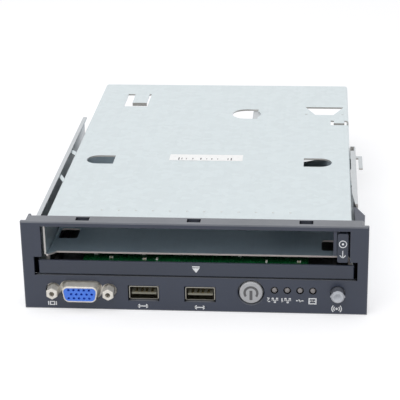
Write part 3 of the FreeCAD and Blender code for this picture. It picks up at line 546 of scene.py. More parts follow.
@dataclass(frozen=True)
class SolderMask:
    """Green lacquer of a circuit board with the copper showing faintly under it."""

    name: str
    colour: Colour
    roughness: float = 0.28
    sheen_per_m: float = 300.0
    sheen_reach: Pair = (0.06, 0.06)
    copper_tone: float = 1.9
    track_per_m: Triple = (420.0, 60.0, 200.0)
    track_at: Triple = (0.46, 0.5, 0.54)
    track_depth: float = 0.02 * MM
    track_strength: float = 0.3

    def material(self) -> bpy.types.Material:
        """Builds the material.

        Returns:
            The finished material.
        """
        paint = NodePaint(self.name)
        tracks = paint.lines(self.track_per_m, detail=0.0)
        stops = zip(self.track_at, (self.colour, shade(self.colour, self.copper_tone), self.colour))
        paint.feed("Base Color", paint.ramp(tracks, list(stops)))
        paint.rough(paint.noise(self.sheen_per_m), self.roughness, self.sheen_reach)
        paint.bump(tracks, self.track_depth, self.track_strength)
        return paint.material


@dataclass(frozen=True)
class Ink:
    """Screen-printed ink or label paper, flat and slightly uneven."""

    name: str
    colour: Colour
    roughness: float = 0.55
    cloud_per_m: float = 900.0
    cloud_tones: Pair = (0.93, 1.0)
    cloud_reach: Pair = (0.04, 0.06)
    cloud_depth: float = 0.005 * MM

    def material(self) -> bpy.types.Material:
        """Builds the material.

        Returns:
            The finished material.
        """
        paint = NodePaint(self.name)
        cloud = paint.noise(self.cloud_per_m)
        paint.feed("Base Color", paint.tones(cloud, self.colour, self.cloud_tones))
        paint.rough(cloud, self.roughness, self.cloud_reach)
        paint.bump(cloud, self.cloud_depth)
        return paint.material


Finish = MouldedPlastic | ZincSheet | PlatedMetal | ClearPlastic | SolderMask | Ink

FINISHES: tuple[Finish, ...] = (
    # The bezel plastic has a painted highlight on its skirt's level faces and painted shade in its
    # recesses.
    MouldedPlastic(
        "bezel_plastic",
        tone(51, 58, 75),
        0.34,
        gloss=1.56,
        top_highlight=tone(112, 115, 122),
        recess_shade=tone(14, 14, 17),
    ),
    # A shaded copy of the bezel plastic for the recessed tray strip and the release tab: a little darker,
    # standing in for the shade that they lie in, and without the painted highlight.
    MouldedPlastic("strip_plastic_shaded", tone(47, 54, 70), 0.34, gloss=1.56),
    ZincSheet("galvanised_sheet", tone(219, 228, 231), tone(214, 212, 208)),
    # A shaded copy of the galvanised sheet for the shelf inside the bay: darker and less metallic, standing
    # in for the shade in the bay, with a painted highlight in its much lighter edge colour on the faces
    # that look along Y.
    ZincSheet("shelf_sheet_shaded", tone(138, 154, 166), tone(222, 214, 210), 0.34, 0.4),
    ZincSheet("pan_sheet", tone(204, 208, 211), tone(196, 192, 188), 0.42),
    PlatedMetal("screw_steel", tone(190, 190, 190), 0.32),
    PlatedMetal("socket_plate", tone(232, 228, 220), 0.45, 0.5),
    PlatedMetal("port_steel", tone(164, 161, 152), 0.32),
    MouldedPlastic("video_blue", tone(82, 138, 255), 0.42, mottle=0.05),
    PlatedMetal("contact_gold", tone(176, 162, 124), 0.24),
    MouldedPlastic("port_black", tone(46, 43, 39), 0.4),
    MouldedPlastic("button_silver", tone(192, 193, 196), 0.38, mottle=0.04),
    MouldedPlastic("switch_black", tone(34, 34, 36), 0.5),
    # The frosted button has painted shade on its sides.
    ClearPlastic("frosted_clear", tone(226, 230, 238), 0.3, 0.2, side=tone(110, 113, 122)),
    ClearPlastic("light_clear", tone(158, 154, 154), 0.2, 0.2),
    MouldedPlastic("lamp_white", tone(240, 242, 236), 0.35, mottle=0.04),
    SolderMask("board_green", tone(12, 74, 38)),
    MouldedPlastic("socket_ivory", tone(222, 216, 198), 0.5, mottle=0.05),
    MouldedPlastic("tongue_grey", tone(146, 144, 130), 0.45, mottle=0.05),
    MouldedPlastic("chip_black", tone(36, 36, 38), 0.55),
    MouldedPlastic("guide_black", tone(22, 21, 22), 0.42),
    PlatedMetal("spring_steel", tone(188, 188, 190), 0.22),
    PlatedMetal("solder_tin", tone(246, 248, 246), 0.3, 0.2),
    MouldedPlastic("capacitor_tan", tone(206, 194, 170), 0.5, mottle=0.06),
    Ink("print_white", tone(250, 252, 255)),
    Ink("symbol_grey", tone(104, 104, 106)),
    Ink("label_paper", tone(255, 255, 255), 0.45),
    Ink("label_tick", tone(96, 96, 98)),
    Ink("legend_white", tone(214, 222, 214)),
)


class Finishes:
    """Keeps one built material for each finish."""

    def __init__(self) -> None:
        """Builds all finishes."""
        self.made = {finish.name: finish.material() for finish in FINISHES}

    def __getitem__(self, name: str) -> bpy.types.Material:
        """The material of that name."""
        return self.made[name]


def clear_selection() -> None:
    """Leaves edit mode and deselects everything."""
    if bpy.context.object and bpy.context.object.mode != "OBJECT":
        bpy.ops.object.mode_set(mode="OBJECT")
    bpy.ops.object.select_all(action="DESELECT")


def pick(piece: bpy.types.Object) -> None:
    """Makes a piece the only selected and the active object.

    Args:
        piece: The piece.
    """
    clear_selection()
    piece.select_set(True)
    bpy.context.view_layer.objects.active = piece


def settle(piece: bpy.types.Object) -> bpy.types.Object:
    """Puts a piece's place, turn and scale into its mesh.

    Args:
        piece: The piece.

    Returns:
        The same piece.
    """
    pick(piece)
    bpy.ops.object.transform_apply(location=True, rotation=True, scale=True)
    return piece


@contextmanager
def editing(piece: bpy.types.Object) -> Iterator[None]:
    """Edit mode on one piece, with all its faces selected.

    Args:
        piece: The piece.

    Yields:
        Nothing.
    """
    pick(piece)
    bpy.ops.object.mode_set(mode="EDIT")
    bpy.ops.mesh.select_mode(type="FACE")
    bpy.ops.mesh.select_all(action="SELECT")
    yield
    bpy.ops.object.mode_set(mode="OBJECT")


def primitive(
    add: Callable[..., set[str]],
    place: Vector,
    turn: Triple = (0.0, 0.0, 0.0),
    scale: Triple = (1.0, 1.0, 1.0),
    **sizes: float,
) -> bpy.types.Object:
    """Adds a primitive and puts its size and place into its mesh.

    Args:
        add: The operator that adds it.
        place: Its middle.
        turn: Its turn about X, Y and Z.
        scale: Its scale along its own axes, before the turn.
        **sizes: The operator's own sizes.

    Returns:
        The new piece.
    """
    clear_selection()
    add(location=place, rotation=turn, **sizes)
    piece = bpy.context.active_object
    piece.scale = scale
    return settle(piece)


def block(low: Vector, high: Vector, bevel: float) -> bpy.types.Object:
    """A box between two corners with rounded edges.

    Args:
        low: Lowest corner.
        high: Highest corner.
        bevel: Width of the rounding.

    Returns:
        The box.
    """
    extent = tuple(high - low)
    piece = primitive(bpy.ops.mesh.primitive_cube_add, (low + high) / 2, scale=extent, size=1.0)
    with editing(piece):
        bpy.ops.mesh.bevel(offset=bevel, segments=2, affect="EDGES")
    return piece


def joined(pieces: list[bpy.types.Object], name: str) -> bpy.types.Object:
    """Joins pieces into one and sets its faces outwards.

    Args:
        pieces: Pieces to join.
        name: Name of the result.

    Returns:
        The joined piece.
    """
    pick(pieces[0])
    for piece in pieces:
        piece.select_set(True)
    if len(pieces) > 1:
        bpy.ops.object.join()
    whole = bpy.context.active_object
    whole.name = name
    whole.data.name = name
    with editing(whole):
        bpy.ops.mesh.normals_make_consistent(inside=False)
    return whole


def repeated(
    model: bpy.types.Object, places: list[Vector], name: str, turns: list[float] | None = None
) -> bpy.types.Object:
    """Copies a piece that was modelled about the origin, each copy with its own mesh.

    Args:
        model: The piece, which is used up.
        places: Where the copies stand.
        name: Name of the joined copies.
        turns: Turn of each copy about Z, none by default.

    Returns:
        All copies as one piece.
    """
    made = []
    for place, turn in zip(places, turns or [0.0] * len(places)):
        copy = model.copy()
        copy.data = model.data.copy()
        copy.data.transform(Matrix.Translation(place) @ Matrix.Rotation(turn, 4, "Z"))
        bpy.context.scene.collection.objects.link(copy)
        made.append(copy)
    bpy.data.objects.remove(model)
    return joined(made, name)


def smoothed(piece: bpy.types.Object) -> bpy.types.Object:
    """Shades a piece smooth, except at its sharp edges.

    Args:
        piece: The piece.

    Returns:
        The same piece.
    """
    pick(piece)
    bpy.ops.object.shade_smooth_by_angle(angle=SMOOTH_ANGLE)
    return piece


def dress(piece: bpy.types.Object, paint: bpy.types.Material, body: Body) -> None:
    """Finishes a piece and fixes it to its body.

    Args:
        piece: The piece.
        paint: Its material.
        body: The body that it moves with.
    """
    piece.data.materials.clear()
    piece.data.materials.append(paint)
    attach(piece, body.value)
    LOG.info("%s: %d faces on %s", piece.name, len(piece.data.polygons), body.value)


@dataclass
class Stencil:
    """Thin ink marks on one flat face, joined into one piece."""

    name: str
    level: float
    facing: Facing
    body: Body
    ink: bpy.types.Material
    slot: str
    thickness: float = 0.04 * MM
    sunk_share: float = 0.1
    bar_corner: float = 0.25
    round_end: float = 0.48
    wedge_corner: float = 0.04
    circle_sides: int = 32
    arc_steps_per_radian: float = 10.0
    least_arc_steps: int = 6
    strokes: list[bpy.types.Object] = field(default_factory=list)

    @property
    def outward(self) -> Vector:
        """Direction that the printed face looks in."""
        return Vector((0, -1, 0)) if self.facing is Facing.FRONT else Vector((0, 0, 1))

    def spot(self, across: float, along: float) -> Vector:
        """A point just under the face, where a stroke starts.

        Args:
            across: X.
            along: Z on a front face, Y on a top face.

        Returns:
            The point.
        """
        at = (across, self.level, along) if self.facing is Facing.FRONT else (across, along, self.level)
        return Vector(at) - self.outward * self.thickness * self.sunk_share

    def lay(self, angle: float = 0.0) -> Triple:
        """Turn that lays a flat primitive on the face.

        Args:
            angle: Turn on the face, anticlockwise as seen, in radians.

        Returns:
            The turn about X, Y and Z.
        """
        return (math.pi / 2, -angle, 0.0) if self.facing is Facing.FRONT else (0.0, 0.0, angle)

    def raised(self, stroke: bpy.types.Object) -> None:
        """Gives a flat stroke its thickness and keeps it.

        Args:
            stroke: The stroke.
        """
        with editing(stroke):
            bpy.ops.mesh.extrude_region_move(
                TRANSFORM_OT_translate={"value": self.outward * self.thickness}
            )
        self.strokes.append(stroke)

    def bar(
        self,
        across: float,
        along: float,
        length: float,
        width: float,
        turn: float = 0.0,
        corner: float | None = None,
    ) -> None:
        """A straight stroke with rounded corners.

        Args:
            across: X of its middle.
            along: Place of its middle along the face.
            length: Length of the stroke.
            width: Width of the stroke.
            turn: Turn from X, anticlockwise as seen, in radians.
            corner: Rounding of the corners, as a share of the narrower side; the print's own by default.
        """
        share = self.bar_corner if corner is None else corner
        stroke = primitive(
            bpy.ops.mesh.primitive_plane_add,
            self.spot(across, along),
            self.lay(turn),
            (length, width, 1.0),
            size=1.0,
        )
        with editing(stroke):
            bpy.ops.mesh.bevel(offset=min(length, width) * share, segments=2, affect="VERTICES")
        self.raised(stroke)

    def wedge(self, across: float, along: float, wide: float, drop: float) -> None:
        """A filled triangle with its tip down.

        Args:
            across: X of its middle.
            along: Place of its upper side along the face.
            wide: Length of the upper side.
            drop: Height of the triangle.
        """
        # An even triangle in a circle of radius 1 has this side and height, and its middle a third up.
        side, height = math.sqrt(3), 1.5
        stroke = primitive(
            bpy.ops.mesh.primitive_circle_add,
            self.spot(across, along - drop / 3),
            self.lay(math.pi),
            (wide / side, drop / height, 1.0),
            vertices=3,
            radius=1.0,
            fill_type="NGON",
        )
        with editing(stroke):
            bpy.ops.mesh.bevel(offset=wide * self.wedge_corner, segments=2, affect="VERTICES")
        self.raised(stroke)

    def line(self, start: Pair, end: Pair, width: float) -> None:
        """A stroke with round ends between two points of the face.

        Args:
            start: First point.
            end: Second point.
            width: Width of the stroke.
        """
        run = (end[0] - start[0], end[1] - start[1])
        middle = ((start[0] + end[0]) / 2, (start[1] + end[1]) / 2)
        turn = math.atan2(run[1], run[0])
        self.bar(*middle, math.hypot(*run) + width, width, turn, self.round_end)

    def path(self, points: list[Pair], width: float) -> None:
        """Strokes through several points."""
        for start, end in zip(points, points[1:]):
            self.line(start, end, width)

    def outline(self, across: float, along: float, wide: float, high: float, width: float) -> None:
        """A rectangular frame.

        Args:
            across: X of its middle.
            along: Place of its middle along the face.
            wide: Width of the rectangle.
            high: Height of the rectangle.
            width: Width of the strokes.
        """
        frame = primitive(
            bpy.ops.mesh.primitive_plane_add,
            self.spot(across, along),
            self.lay(),
            (wide + width, high + width, 1.0),
            size=1.0,
        )
        with editing(frame):
            bpy.ops.mesh.inset(thickness=width)
            bpy.ops.mesh.delete(type="FACE")
        self.raised(frame)

    def disc(self, across: float, along: float, radius: float, hole: float = 0.0) -> None:
        """A round spot, or a ring where it has a hole.

        Args:
            across: X of its middle.
            along: Place of its middle along the face.
            radius: Outer radius.
            hole: Radius of the hole.
        """
        spot = primitive(
            bpy.ops.mesh.primitive_circle_add,
            self.spot(across, along),
            self.lay(),
            vertices=self.circle_sides,
            radius=radius,
            fill_type="NGON",
        )
        if hole:
            with editing(spot):
                bpy.ops.mesh.inset(thickness=radius - hole)
                bpy.ops.mesh.delete(type="FACE")
        self.raised(spot)

    def arc(
        self, across: float, along: float, radius: float, width: float, start: float, sweep: float
    ) -> None:
        """A bent stroke on a front face.

        Args:
            across: X of its centre.
            along: Z of its centre.
            radius: Radius at the middle of the stroke.
            width: Width of the stroke.
            start: Angle of its first end from X, anticlockwise as seen, in radians.
            sweep: Angle that it covers, anticlockwise.
        """
        centre = self.spot(across, along) + self.outward * self.thickness / 2
        piece = primitive(
            bpy.ops.mesh.primitive_plane_add,
            centre + Vector((radius, 0, 0)),
            scale=(width, self.thickness, 1.0),
            size=1.0,
        )
        turned = Matrix.Translation(centre) @ Matrix.Rotation(-start, 4, "Y") @ Matrix.Translation(-centre)
        piece.data.transform(turned)
        steps = max(self.least_arc_steps, round(abs(sweep) * self.arc_steps_per_radian))
        with editing(piece):
            bpy.ops.mesh.spin(steps=steps, angle=sweep, center=centre, axis=(0.0, 1.0, 0.0))
        self.strokes.append(piece)

    def finish(self) -> None:
        """Joins the strokes and fixes them to their body."""
        dress(joined(self.strokes, self.name), self.ink, self.body)


@dataclass
class FaceMarks:
    """White marks on the bezel's face, all upside down as the unit lies."""

    finishes: Finishes
    stroke: float = 0.5 * MM
    link_stroke: float = 0.4 * MM
    fine_stroke: float = 0.425 * MM
    video_at: Pair = (-63.6 * MM, 2.76 * MM)
    data_at: tuple[Pair, ...] = ((-22.9 * MM, 2.2 * MM), (2.4 * MM, 2.1 * MM))
    link_two_x: float = 35.6 * MM
    link_one_x: float = 41.2 * MM
    link_z: float = 6.4 * MM
    pulse_at: Pair = (46.5 * MM, 6.4 * MM)
    pulse_w: float = 3.0 * MM
    boxed_pulse_at: Pair = (52.1 * MM, 6.3 * MM)
    ident_at: Pair = (62.7 * MM, 2.85 * MM)
    marks: Stencil = field(init=False)

    def __post_init__(self) -> None:
        """Readies the print on the bezel's front face."""
        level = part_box("bezel")[0].y
        ink = self.finishes["print_white"]
        self.marks = Stencil("face_marks", level, Facing.FRONT, Body.CHASSIS, ink, "lamp_white")

    def build(self) -> None:
        """Prints all marks of the face as one piece."""
        self.video_mark()
        for spot in self.data_at:
            self.data_mark(spot)
        self.link_mark(self.link_two_x)
        self.link_mark(self.link_one_x)
        self.digits()
        self.pulse_mark(self.pulse_at, self.pulse_w)
        self.boxed_pulse_mark()
        self.ident_mark()
        self.marks.finish()

    def video_mark(self) -> None:
        """A screen between two short posts."""
        x, z = self.video_at
        screen_w, screen_h = 1.9 * MM, 1.5 * MM
        post_out, post_h = 1.75 * MM, 1.9 * MM
        self.marks.outline(x, z, screen_w, screen_h, self.stroke)
        for side in (-1, 1):
            self.marks.bar(x + side * post_out, z, self.stroke, post_h)

    def data_mark(self, spot: Pair) -> None:
        """A double arrow, for data in and out.

        Args:
            spot: Middle of the mark.
        """
        x, z = spot
        half, barb = 2.3 * MM, 0.75 * MM
        self.marks.bar(x, z, 2 * half, self.stroke)
        for side in (-1, 1):
            tip = (x + side * half, z)
            for rise in (-1, 1):
                self.marks.line(tip, (tip[0] - side * barb, z + rise * barb), self.stroke)

    def link_mark(self, x: float) -> None:
        """Two boxes joined to a third, for a network link.

        Args:
            x: X of its middle.
        """
        z = self.link_z
        box, box_out = 0.95 * MM, 0.95 * MM
        upper_z, lower_z = z + 0.75 * MM, z - 0.85 * MM
        stem_top, stem_low = z + 0.5 * MM, z - 0.6 * MM
        rail = 2.9 * MM
        for side in (-1, 1):
            box_x = x + side * box_out
            self.marks.bar(box_x, upper_z, box, box)
            self.marks.line((box_x, z), (box_x, stem_top), self.link_stroke)
        self.marks.bar(x, z, rail, self.link_stroke)
        self.marks.line((x, z), (x, stem_low), self.link_stroke)
        self.marks.bar(x, lower_z, box, box)

    def digits(self) -> None:
        """The numbers 2 and 1 beside the link marks, upside down."""
        wide, high = 0.95 * MM, 1.7 * MM
        z, knee, flag = self.link_z + 0.2 * MM, 0.1 * MM, 0.4 * MM
        low, top = z - high / 2, z + high / 2
        two_x, one_x = self.link_two_x - 2.75 * MM, self.link_one_x - 2.5 * MM
        left, right = two_x - wide / 2, two_x + wide / 2
        two = [(right, low), (left, low), (left, z - knee), (right, top), (left, top)]
        self.marks.path(two, self.fine_stroke)
        self.marks.bar(one_x, z, self.stroke, high)
        self.marks.line((one_x, low), (one_x + flag, low + flag), self.fine_stroke)

    def pulse_mark(self, spot: Pair, wide: float) -> None:
        """A pulse line.

        Args:
            spot: Middle of the mark.
            wide: Width of the mark.
        """
        x, z = spot
        steps = ((-0.5, 0.0), (-0.2, 0.0), (-0.08, 0.26), (0.08, -0.26), (0.2, 0.0), (0.5, 0.0))
        self.marks.path([(x + a * wide, z + b * wide) for a, b in steps], self.fine_stroke)

    def boxed_pulse_mark(self) -> None:
        """A pulse line in a box, for the health lamp inside."""
        x, z = self.boxed_pulse_at
        box_w, box_h, pulse_w = 3.0 * MM, 2.5 * MM, 2.0 * MM
        self.marks.outline(x, z, box_w, box_h, self.stroke)
        self.pulse_mark((x, z), pulse_w)

    def ident_mark(self) -> None:
        """A spot between two pairs of arcs, for a lamp that shows which unit it is."""
        x, z = self.ident_at
        spot_r, arc_radii, half_sweep = 0.55 * MM, (1.25 * MM, 2.1 * MM), 0.8
        self.marks.disc(x, z, spot_r)
        for radius in arc_radii:
            for middle in (0.0, math.pi):
                self.marks.arc(x, z, radius, self.stroke, middle - half_sweep, 2 * half_sweep)


@dataclass
class PowerMark:
    """Grey power sign on the button's cap, upside down as the unit lies."""

    finishes: Finishes
    radius: float = 2.8 * MM
    stroke: float = 1.05 * MM
    gap: float = 1.87
    bar_width: float = 1.3 * MM
    bar_top: float = 1.15 * MM
    bar_bottom: float = -3.45 * MM
    bar_corner: float = 0.15

    def build(self) -> None:
        """Prints the broken ring and its bar."""
        low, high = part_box("power_button")
        x, z = (low.x + high.x) / 2, (low.z + high.z) / 2
        ink = self.finishes["symbol_grey"]
        sign = Stencil("power_sign", low.y, Facing.FRONT, Body.POWER_KEY, ink, "switch_black")
        start = -math.pi / 2 + self.gap / 2
        sign.arc(x, z, self.radius, self.stroke, start, 2 * math.pi - self.gap)
        middle, length = (self.bar_top + self.bar_bottom) / 2, self.bar_top - self.bar_bottom
        sign.bar(x, z + middle, self.bar_width, length, corner=self.bar_corner)
        sign.finish()


@dataclass
class TrayMark:
    """White eject sign on the tray's front strip."""

    finishes: Finishes
    centre_x: float = 1.0 * MM
    wide: float = 3.3 * MM
    rise: float = 1.5 * MM
    bar: float = 0.55 * MM
    step: float = 0.62 * MM
    drop: float = 2.3 * MM

    def build(self) -> None:
        """Prints the bar and the arrow head below it."""
        low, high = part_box("tray_front")
        top = (low.z + high.z) / 2 + self.rise
        ink = self.finishes["print_white"]
        sign = Stencil("eject_sign", low.y, Facing.FRONT, Body.TRAY, ink, "lamp_white")
        sign.bar(self.centre_x, top, self.wide, self.bar)
        sign.wedge(self.centre_x, top - self.step, self.wide, self.drop)
        sign.finish()


@dataclass
class ReleaseMark:
    """White disc and arrow on the drive's release tab."""

    finishes: Finishes
    centre_x: float = 64.85 * MM
    disc_rise: float = 2.0 * MM
    disc_r: float = 1.75 * MM
    hub_r: float = 0.5 * MM
    stroke: float = 0.36 * MM
    arrow_top: float = -1.2 * MM
    arrow_tip: float = -4.6 * MM
    barb: float = 1.2 * MM

    def build(self) -> None:
        """Prints the mark on the tab's face."""
        low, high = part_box("release_slider")
        x, z = self.centre_x, (low.z + high.z) / 2
        ink = self.finishes["print_white"]
        sign = Stencil("release_sign", low.y, Facing.FRONT, Body.RELEASE, ink, "lamp_white")
        sign.disc(x, z + self.disc_rise, self.disc_r, hole=self.disc_r - self.stroke)
        sign.disc(x, z + self.disc_rise, self.hub_r)
        tip = (x, z + self.arrow_tip)
        sign.line((x, z + self.arrow_top), tip, self.stroke)
        for side in (-1, 1):
            sign.line(tip, (x + side * self.barb, tip[1] + self.barb), self.stroke)
        sign.finish()


@dataclass
class CageDress:
    """Blank label and the row of press marks on the cage's top."""

    finishes: Finishes
    label_low: Pair = (-18.7 * MM, 81.6 * MM)
    label_high: Pair = (17.0 * MM, 89.6 * MM)
    label_t: float = 0.12 * MM
    label_sunk: float = 0.02 * MM
    label_bevel: float = 0.05 * MM
    tick_t: float = 0.02 * MM
    tick_y: float = 2.2 * MM
    # Place as a share of the label's length, then height and width.
    ticks_mm: tuple[Triple, ...] = (
        (0.13, 3.2, 0.55), (0.17, 2.4, 0.4), (0.23, 1.8, 0.35), (0.32, 2.0, 0.4), (0.43, 2.2, 0.6),
        (0.51, 1.4, 0.35), (0.58, 2.0, 0.45), (0.66, 1.4, 0.35), (0.80, 2.4, 0.4), (0.845, 3.2, 0.55),
    )
    dimple_first_x: float = -42.4 * MM
    dimple_pitch: float = 7.65 * MM
    dimple_count: int = 12
    dimple_y: float = 18.6 * MM
    dimple_r: float = 0.6 * MM
    dimple_rise: float = 0.5
    cut_threshold: float = 0.001 * MM

    def build(self, face_y: float) -> None:
        """Lays the label and the marks.

        Args:
            face_y: Y of the bezel's face, from which places on the top are counted.
        """
        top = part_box("drive_cage")[1].z
        low = Vector((self.label_low[0], face_y + self.label_low[1], top - self.label_sunk))
        high = Vector((self.label_high[0], face_y + self.label_high[1], top + self.label_t))
        label = block(low, high, self.label_bevel)
        label.name = "blank_label"
        dress(label, self.finishes["label_paper"], Body.CHASSIS)
        self.ticks(low, high)
        self.dimples(face_y, top)

    def ticks(self, low: Vector, high: Vector) -> None:
        """A row of short ticks across the label.

        Args:
            low: Label's lowest corner.
            high: Label's highest corner.
        """
        ink = self.finishes["label_tick"]
        ticks = Stencil("label_ticks", high.z, Facing.UP, Body.CHASSIS, ink, "switch_black", self.tick_t)
        for share, tall, wide in self.ticks_mm:
            x = low.x + (high.x - low.x) * share
            ticks.bar(x, low.y + self.tick_y, wide * MM, tall * MM)
        ticks.finish()

    def dimples(self, face_y: float, top: float) -> None:
        """Shallow round press marks in one row.

        Args:
            face_y: Y of the bezel's face.
            top: Z of the cage's top.
        """
        mark = primitive(
            bpy.ops.mesh.primitive_uv_sphere_add,
            Vector(),
            scale=(1.0, 1.0, self.dimple_rise),
            segments=20,
            ring_count=10,
            radius=self.dimple_r,
        )
        with editing(mark):
            bpy.ops.mesh.bisect(
                plane_co=(0, 0, 0),
                plane_no=(0, 0, 1),
                clear_inner=True,
                use_fill=True,
                threshold=self.cut_threshold,
            )
        places = [
            Vector((self.dimple_first_x + i * self.dimple_pitch, face_y + self.dimple_y, top))
            for i in range(self.dimple_count)
        ]
        row = smoothed(repeated(mark, places, "cage_press_marks"))
        dress(row, self.finishes["galvanised_sheet"], Body.CHASSIS)


@dataclass
class LensDomes:
    """Rounded ends on the four status lenses."""

    finishes: Finishes
    radius: float = 1.1 * MM
    pitch: float = 5.6 * MM
    count: int = 4
    bulge: float = 0.6 * MM
    base_behind: float = 0.4 * MM
    below_top: float = 1.8 * MM

    def build(self) -> None:
        """Sets a dome on each lens."""
        low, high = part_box("light_pipe")
        middle = (low.x + high.x) / 2
        centre_z = high.z - self.below_top
        dome = primitive(
            bpy.ops.mesh.primitive_uv_sphere_add,
            Vector(),
            (math.pi / 2, 0.0, 0.0),
            (1.0, 1.0, self.bulge / self.radius),
            segments=28,
            ring_count=14,
            radius=self.radius,
        )
        with editing(dome):
            bpy.ops.mesh.bisect(plane_co=(0, 0, 0), plane_no=(0, 1, 0), clear_outer=True, use_fill=True)
        places = [
            Vector((middle + (i - (self.count - 1) / 2) * self.pitch, low.y + self.base_behind, centre_z))
            for i in range(self.count)
        ]
        domes = smoothed(repeated(dome, places, "lens_domes"))
        dress(domes, self.finishes["light_clear"], Body.CHASSIS)


@dataclass
class SmallParts:
    """Soldered parts and printed legend of one circuit board."""

    finishes: Finishes
    board: str
    body: Body
    prefix: str
    spots_mm: tuple[Spot, ...]
    frames_mm: tuple[tuple[float, float, float, float], ...]
    length: float = 1.6 * MM
    width: float = 0.8 * MM
    height: float = 0.6 * MM
    cap: float = 0.35 * MM
    solder_swell: float = 0.04 * MM
    bevel: float = 0.06 * MM
    legend_stroke: float = 0.3 * MM

    def build(self, face_y: float) -> None:
        """Solders the parts on and prints the legend.

        Args:
            face_y: Y of the bezel's face, from which places on the board are counted.
        """
        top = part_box(self.board)[1].z
        places = [Vector((x * MM, face_y + y * MM, top)) for x, y, _ in self.spots_mm]
        turns = [math.pi / 2 if upright else 0.0 for _, _, upright in self.spots_mm]
        half = Vector((self.length / 2, self.width / 2, 0.0))
        body = block(-half, half + Vector((0, 0, self.height)), self.bevel)
        bodies = repeated(body, places, f"{self.prefix}_capacitors", turns)
        dress(bodies, self.finishes["capacitor_tan"], self.body)
        foot = half + Vector((self.solder_swell, self.solder_swell, 0.0))
        solder_high = Vector((-half.x + self.cap, foot.y, self.height + self.solder_swell))
        end = block(-foot, solder_high, self.bevel)
        both = repeated(end, [Vector(), Vector()], f"{self.prefix}_solder", [0.0, math.pi])
        joints = repeated(both, places, f"{self.prefix}_solder_ends", turns)
        dress(joints, self.finishes["solder_tin"], self.body)
        ink = self.finishes["legend_white"]
        legend = Stencil(f"{self.prefix}_legend", top, Facing.UP, self.body, ink, "lamp_white")
        for x, y, wide, deep in self.frames_mm:
            legend.outline(x * MM, face_y + y * MM, wide * MM, deep * MM, self.legend_stroke)
        legend.finish()


def display_parts(finishes: Finishes) -> SmallParts:
    """The parts beside the tray's lamps, with legend frames round the lamps.

    Args:
        finishes: Built finishes.

    Returns:
        The display board's parts.
    """
    column_x_mm, column_y_mm = (-45.0, -37.5, 37.5, 45.0), (19.0, 25.5, 32.0, 38.5)
    inner_x_mm, inner_y_mm = (-17.0, 17.0), (20.0, 31.0)
    front_mm = [
        (-37.6, 9.1, False), (-22.5, 7.8, False), (-17.0, 8.0, True), (31.6, 7.5, True), (45.9, 7.9, False),
    ]
    beside_lamp_mm, frame_shift_mm = 2.6, 1.0
    # Middle along Y, width and depth of the frames round the columns and of the two wide ones.
    column_frame_mm, wide_frame_mm, wide_frame_x_mm = (29.0, 5.6, 25.0), (27.5, 16.0, 22.0), (-19.5, 19.5)
    spots = [(x + beside_lamp_mm, y, True) for x in column_x_mm for y in column_y_mm]
    spots += [(x, y, False) for x in inner_x_mm for y in inner_y_mm]
    spots += front_mm
    frames = [(x + frame_shift_mm, *column_frame_mm) for x in column_x_mm]
    frames += [(x, *wide_frame_mm) for x in wide_frame_x_mm]
    return SmallParts(finishes, "display_board", Body.TRAY, "display", tuple(spots), tuple(frames))


def control_parts(finishes: Finishes) -> SmallParts:
    """The parts round the control board's chips.

    Args:
        finishes: Built finishes.

    Returns:
        The control board's parts.
    """
    chips_mm = (
        (-36.0, 36.0, 10.0, 10.0), (-14.0, 34.0, 7.0, 5.0), (8.0, 38.0, 6.4, 6.4), (38.0, 38.0, 5.0, 4.0),
    )
    beside_mm, behind_mm, frame_grow_mm = 2.6, 2.4, 2.6
    side_steps_mm, rear_steps_mm = (-2.0, 0.0, 2.0), (-2.4, 0.0, 2.4)
    spots = []
    for x, y, wide, deep in chips_mm:
        for side in (-1, 1):
            spots += [(x + side * (wide / 2 + beside_mm), y + step, True) for step in side_steps_mm]
        spots += [(x + step, y + deep / 2 + behind_mm, False) for step in rear_steps_mm]
    frames = [(x, y, wide + frame_grow_mm, deep + frame_grow_mm) for x, y, wide, deep in chips_mm]
    return SmallParts(finishes, "control_board", Body.CHASSIS, "control", tuple(spots), tuple(frames))


@dataclass
class Edges:
    """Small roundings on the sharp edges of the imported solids."""

    width: float = 0.18 * MM
    angle: float = math.radians(38)
    weld_gap: float = 0.002 * MM
    flat_angle: float = math.radians(0.5)
    nodes: tuple[str, ...] = (
        "bezel", "tray_front", "display_tray", "release_slider", "cable_header", "tray_catch",
    )

    def dress(self, nodes: dict[str, bpy.types.Object]) -> None:
        """Adds a live rounding to each listed node.

        Args:
            nodes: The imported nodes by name.
        """
        for name in self.nodes:
            node = nodes[name]
            weld = node.modifiers.new("closed_corners", "WELD")
            weld.merge_threshold = self.weld_gap
            flat = node.modifiers.new("flat_faces", "DECIMATE")
            flat.decimate_type = "DISSOLVE"
            flat.angle_limit = self.flat_angle
            round_off = node.modifiers.new("rounded_edges", "BEVEL")
            round_off.width = self.width
            round_off.segments = 2
            round_off.limit_method = "ANGLE"
            round_off.angle_limit = self.angle
            round_off.harden_normals = True
            LOG.info("%s: rounded edges", name)


@dataclass
class PackedSolids:
    """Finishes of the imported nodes, by the record's own slots."""

    finishes: Finishes
    own_finish: tuple[tuple[str, str], ...] = (
        # The shelf, the tray strip and the release tab take shaded copies of their sheet and plastic.
        ("drive_shelf", "shelf_sheet_shaded"), ("base_pan", "pan_sheet"), ("connector_bracket", "pan_sheet"),
        ("tray_front", "strip_plastic_shaded"), ("release_slider", "strip_plastic_shaded"),
        ("data_port_insulator_left", "tongue_grey"), ("data_port_insulator_right", "tongue_grey"),
    )

    def dress(self, frame: dict) -> None:
        """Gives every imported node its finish.

        Args:
            frame: The loaded frame.
        """
        for part in frame["record"]["subparts"]:
            node = frame["nodes"][part["node"]]
            node.data.materials.clear()
            finish = dict(self.own_finish).get(part["node"], part["material_slot"])
            node.data.materials.append(self.finishes[finish])
            LOG.info("%s: %s", part["node"], finish)


